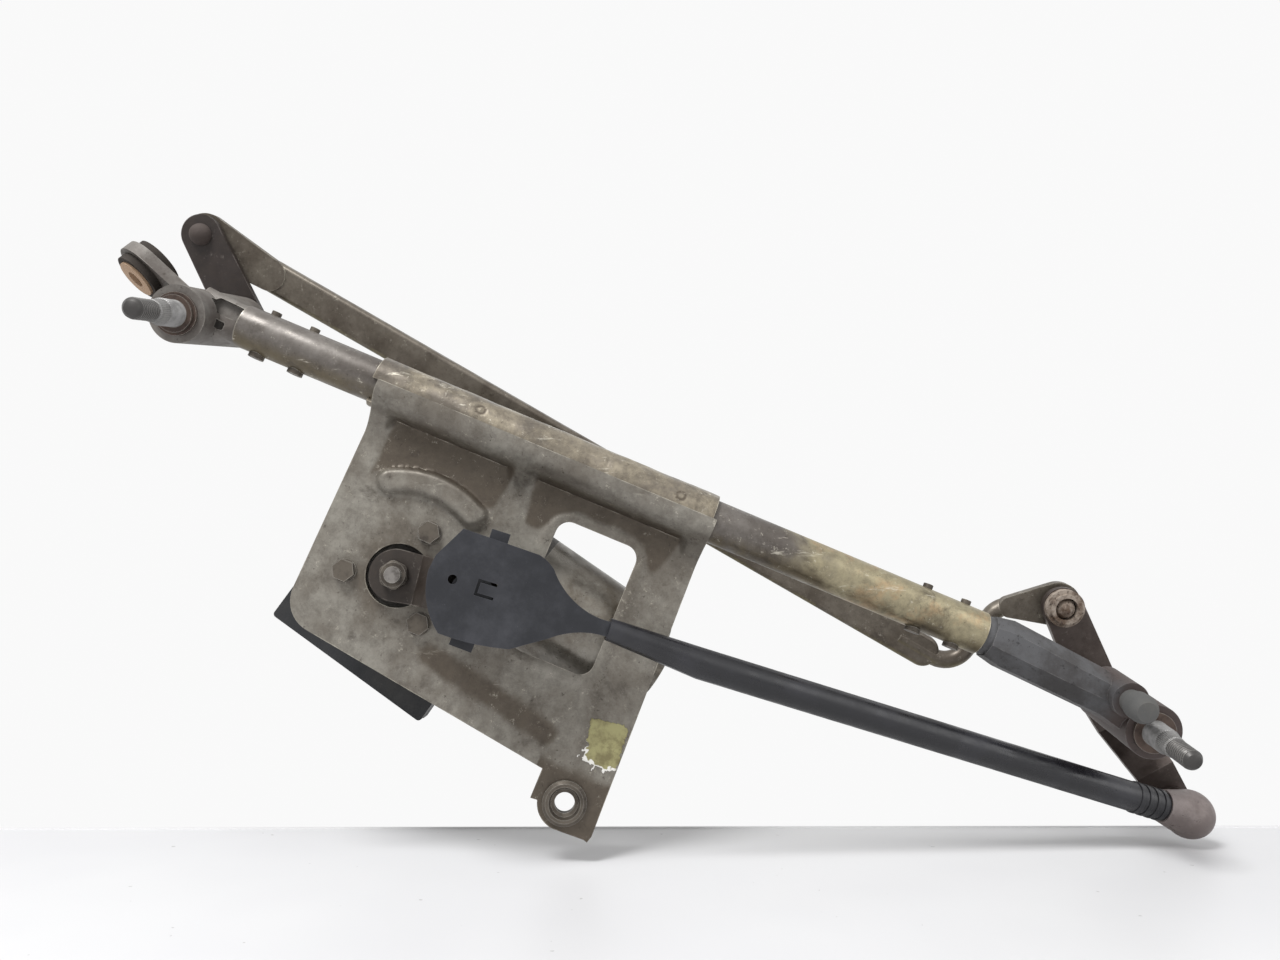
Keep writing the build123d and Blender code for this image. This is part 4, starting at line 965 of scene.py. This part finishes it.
def add_camera():
    data = bpy.data.cameras.new("camera")
    data.sensor_width = sensor_width
    data.lens = focal_pixels / frame_width * sensor_width
    data.clip_start = 0.01
    data.clip_end = 30.0
    camera = bpy.data.objects.new("camera", data)
    camera.location = camera_place
    camera.rotation_euler = (radians(90 + camera_pitch), 0, radians(camera_turn))
    bpy.context.scene.collection.objects.link(camera)
    bpy.context.scene.camera = camera


# Floor and light

floor_height = -0.0295
floor_back = 0.0753
floor_back_slope = -0.0545
floor_half = 6.0
floor_edge = 1.1 * mm
room_light = 0.45
backdrop_light = 0.95


def paper_white():
    """White paper with faint grey smudges and a few specks."""
    skin = Surface("paper_white", 0.45)
    tone = skin.mix(skin.span(skin.noise(4.0, 3), 0.35, 0.7), srgb(228, 228, 229), srgb(223, 223, 225))
    speck = skin.math("MULTIPLY", skin.span(skin.noise(180, 2, 0.5), 0.76, 0.79), 0.5)
    skin.set(skin.shader, "Base Color", skin.mix(speck, tone, srgb(150, 148, 146)))
    return skin.material


def add_stage():
    """The paper that the part stands on, which ends just behind it at a dark edge."""
    near = [(-floor_half, -floor_half, floor_height), (floor_half, -floor_half, floor_height)]
    far = [(x, floor_back + floor_back_slope * x, floor_height) for x in (floor_half, -floor_half)]
    mesh_object("studio_floor", near + far, [(0, 1, 2, 3)], paper_white(), smooth=False)
    top = [(x, y, z + floor_edge) for x, y, z in reversed(far)]
    shadow = Surface("edge_shadow", 0.8).material
    mesh_object("floor_edge", far + top, [(0, 1, 2, 3)], shadow, smooth=False)


def area_light(name, place, aim, size, power):
    """Round lamp that shines from its place to the aim."""
    data = bpy.data.lights.new(name, "AREA")
    data.shape = "DISK"
    data.size = size
    data.energy = power
    lamp = bpy.data.objects.new(name, data)
    lamp.location = place
    lamp.rotation_euler = (Vector(aim) - Vector(place)).to_track_quat("-Z", "Y").to_euler()
    bpy.context.scene.collection.objects.link(lamp)


def add_light():
    """White room, brighter to the camera and in reflections than as light, with two lamps."""
    world = bpy.data.worlds.new("studio")
    bpy.context.scene.world = world
    world.use_nodes = True
    tree = world.node_tree
    back = tree.nodes["Background"]
    path = tree.nodes.new("ShaderNodeLightPath")
    both = tree.nodes.new("ShaderNodeMath")
    both.operation = "MAXIMUM"
    tree.links.new(path.outputs["Is Camera Ray"], both.inputs[0])
    tree.links.new(path.outputs["Is Glossy Ray"], both.inputs[1])
    strength = tree.nodes.new("ShaderNodeMapRange")
    strength.inputs["To Min"].default_value = room_light
    strength.inputs["To Max"].default_value = backdrop_light
    tree.links.new(both.outputs["Value"], strength.inputs["Value"])
    back.inputs["Color"].default_value = (1.0, 1.0, 1.0, 1.0)
    tree.links.new(strength.outputs["Result"], back.inputs["Strength"])
    area_light("key", (-0.5, -0.8, 1.5), (0.05, 0, 0.12), 0.7, 28)
    area_light("fill", (1.3, -0.9, 0.7), (0.05, 0, 0.1), 1.2, 5)


def main():
    make_finishes()
    dress_nodes()
    threaded_spindle("left", "left_rocker", finishes["spindle_steel"])
    threaded_spindle("right", "right_rocker", finishes["spindle_steel"])
    dress_bracket()
    add_camera()
    add_stage()
    add_light()
    bpy.context.scene.view_settings.view_transform = "Standard"


main()
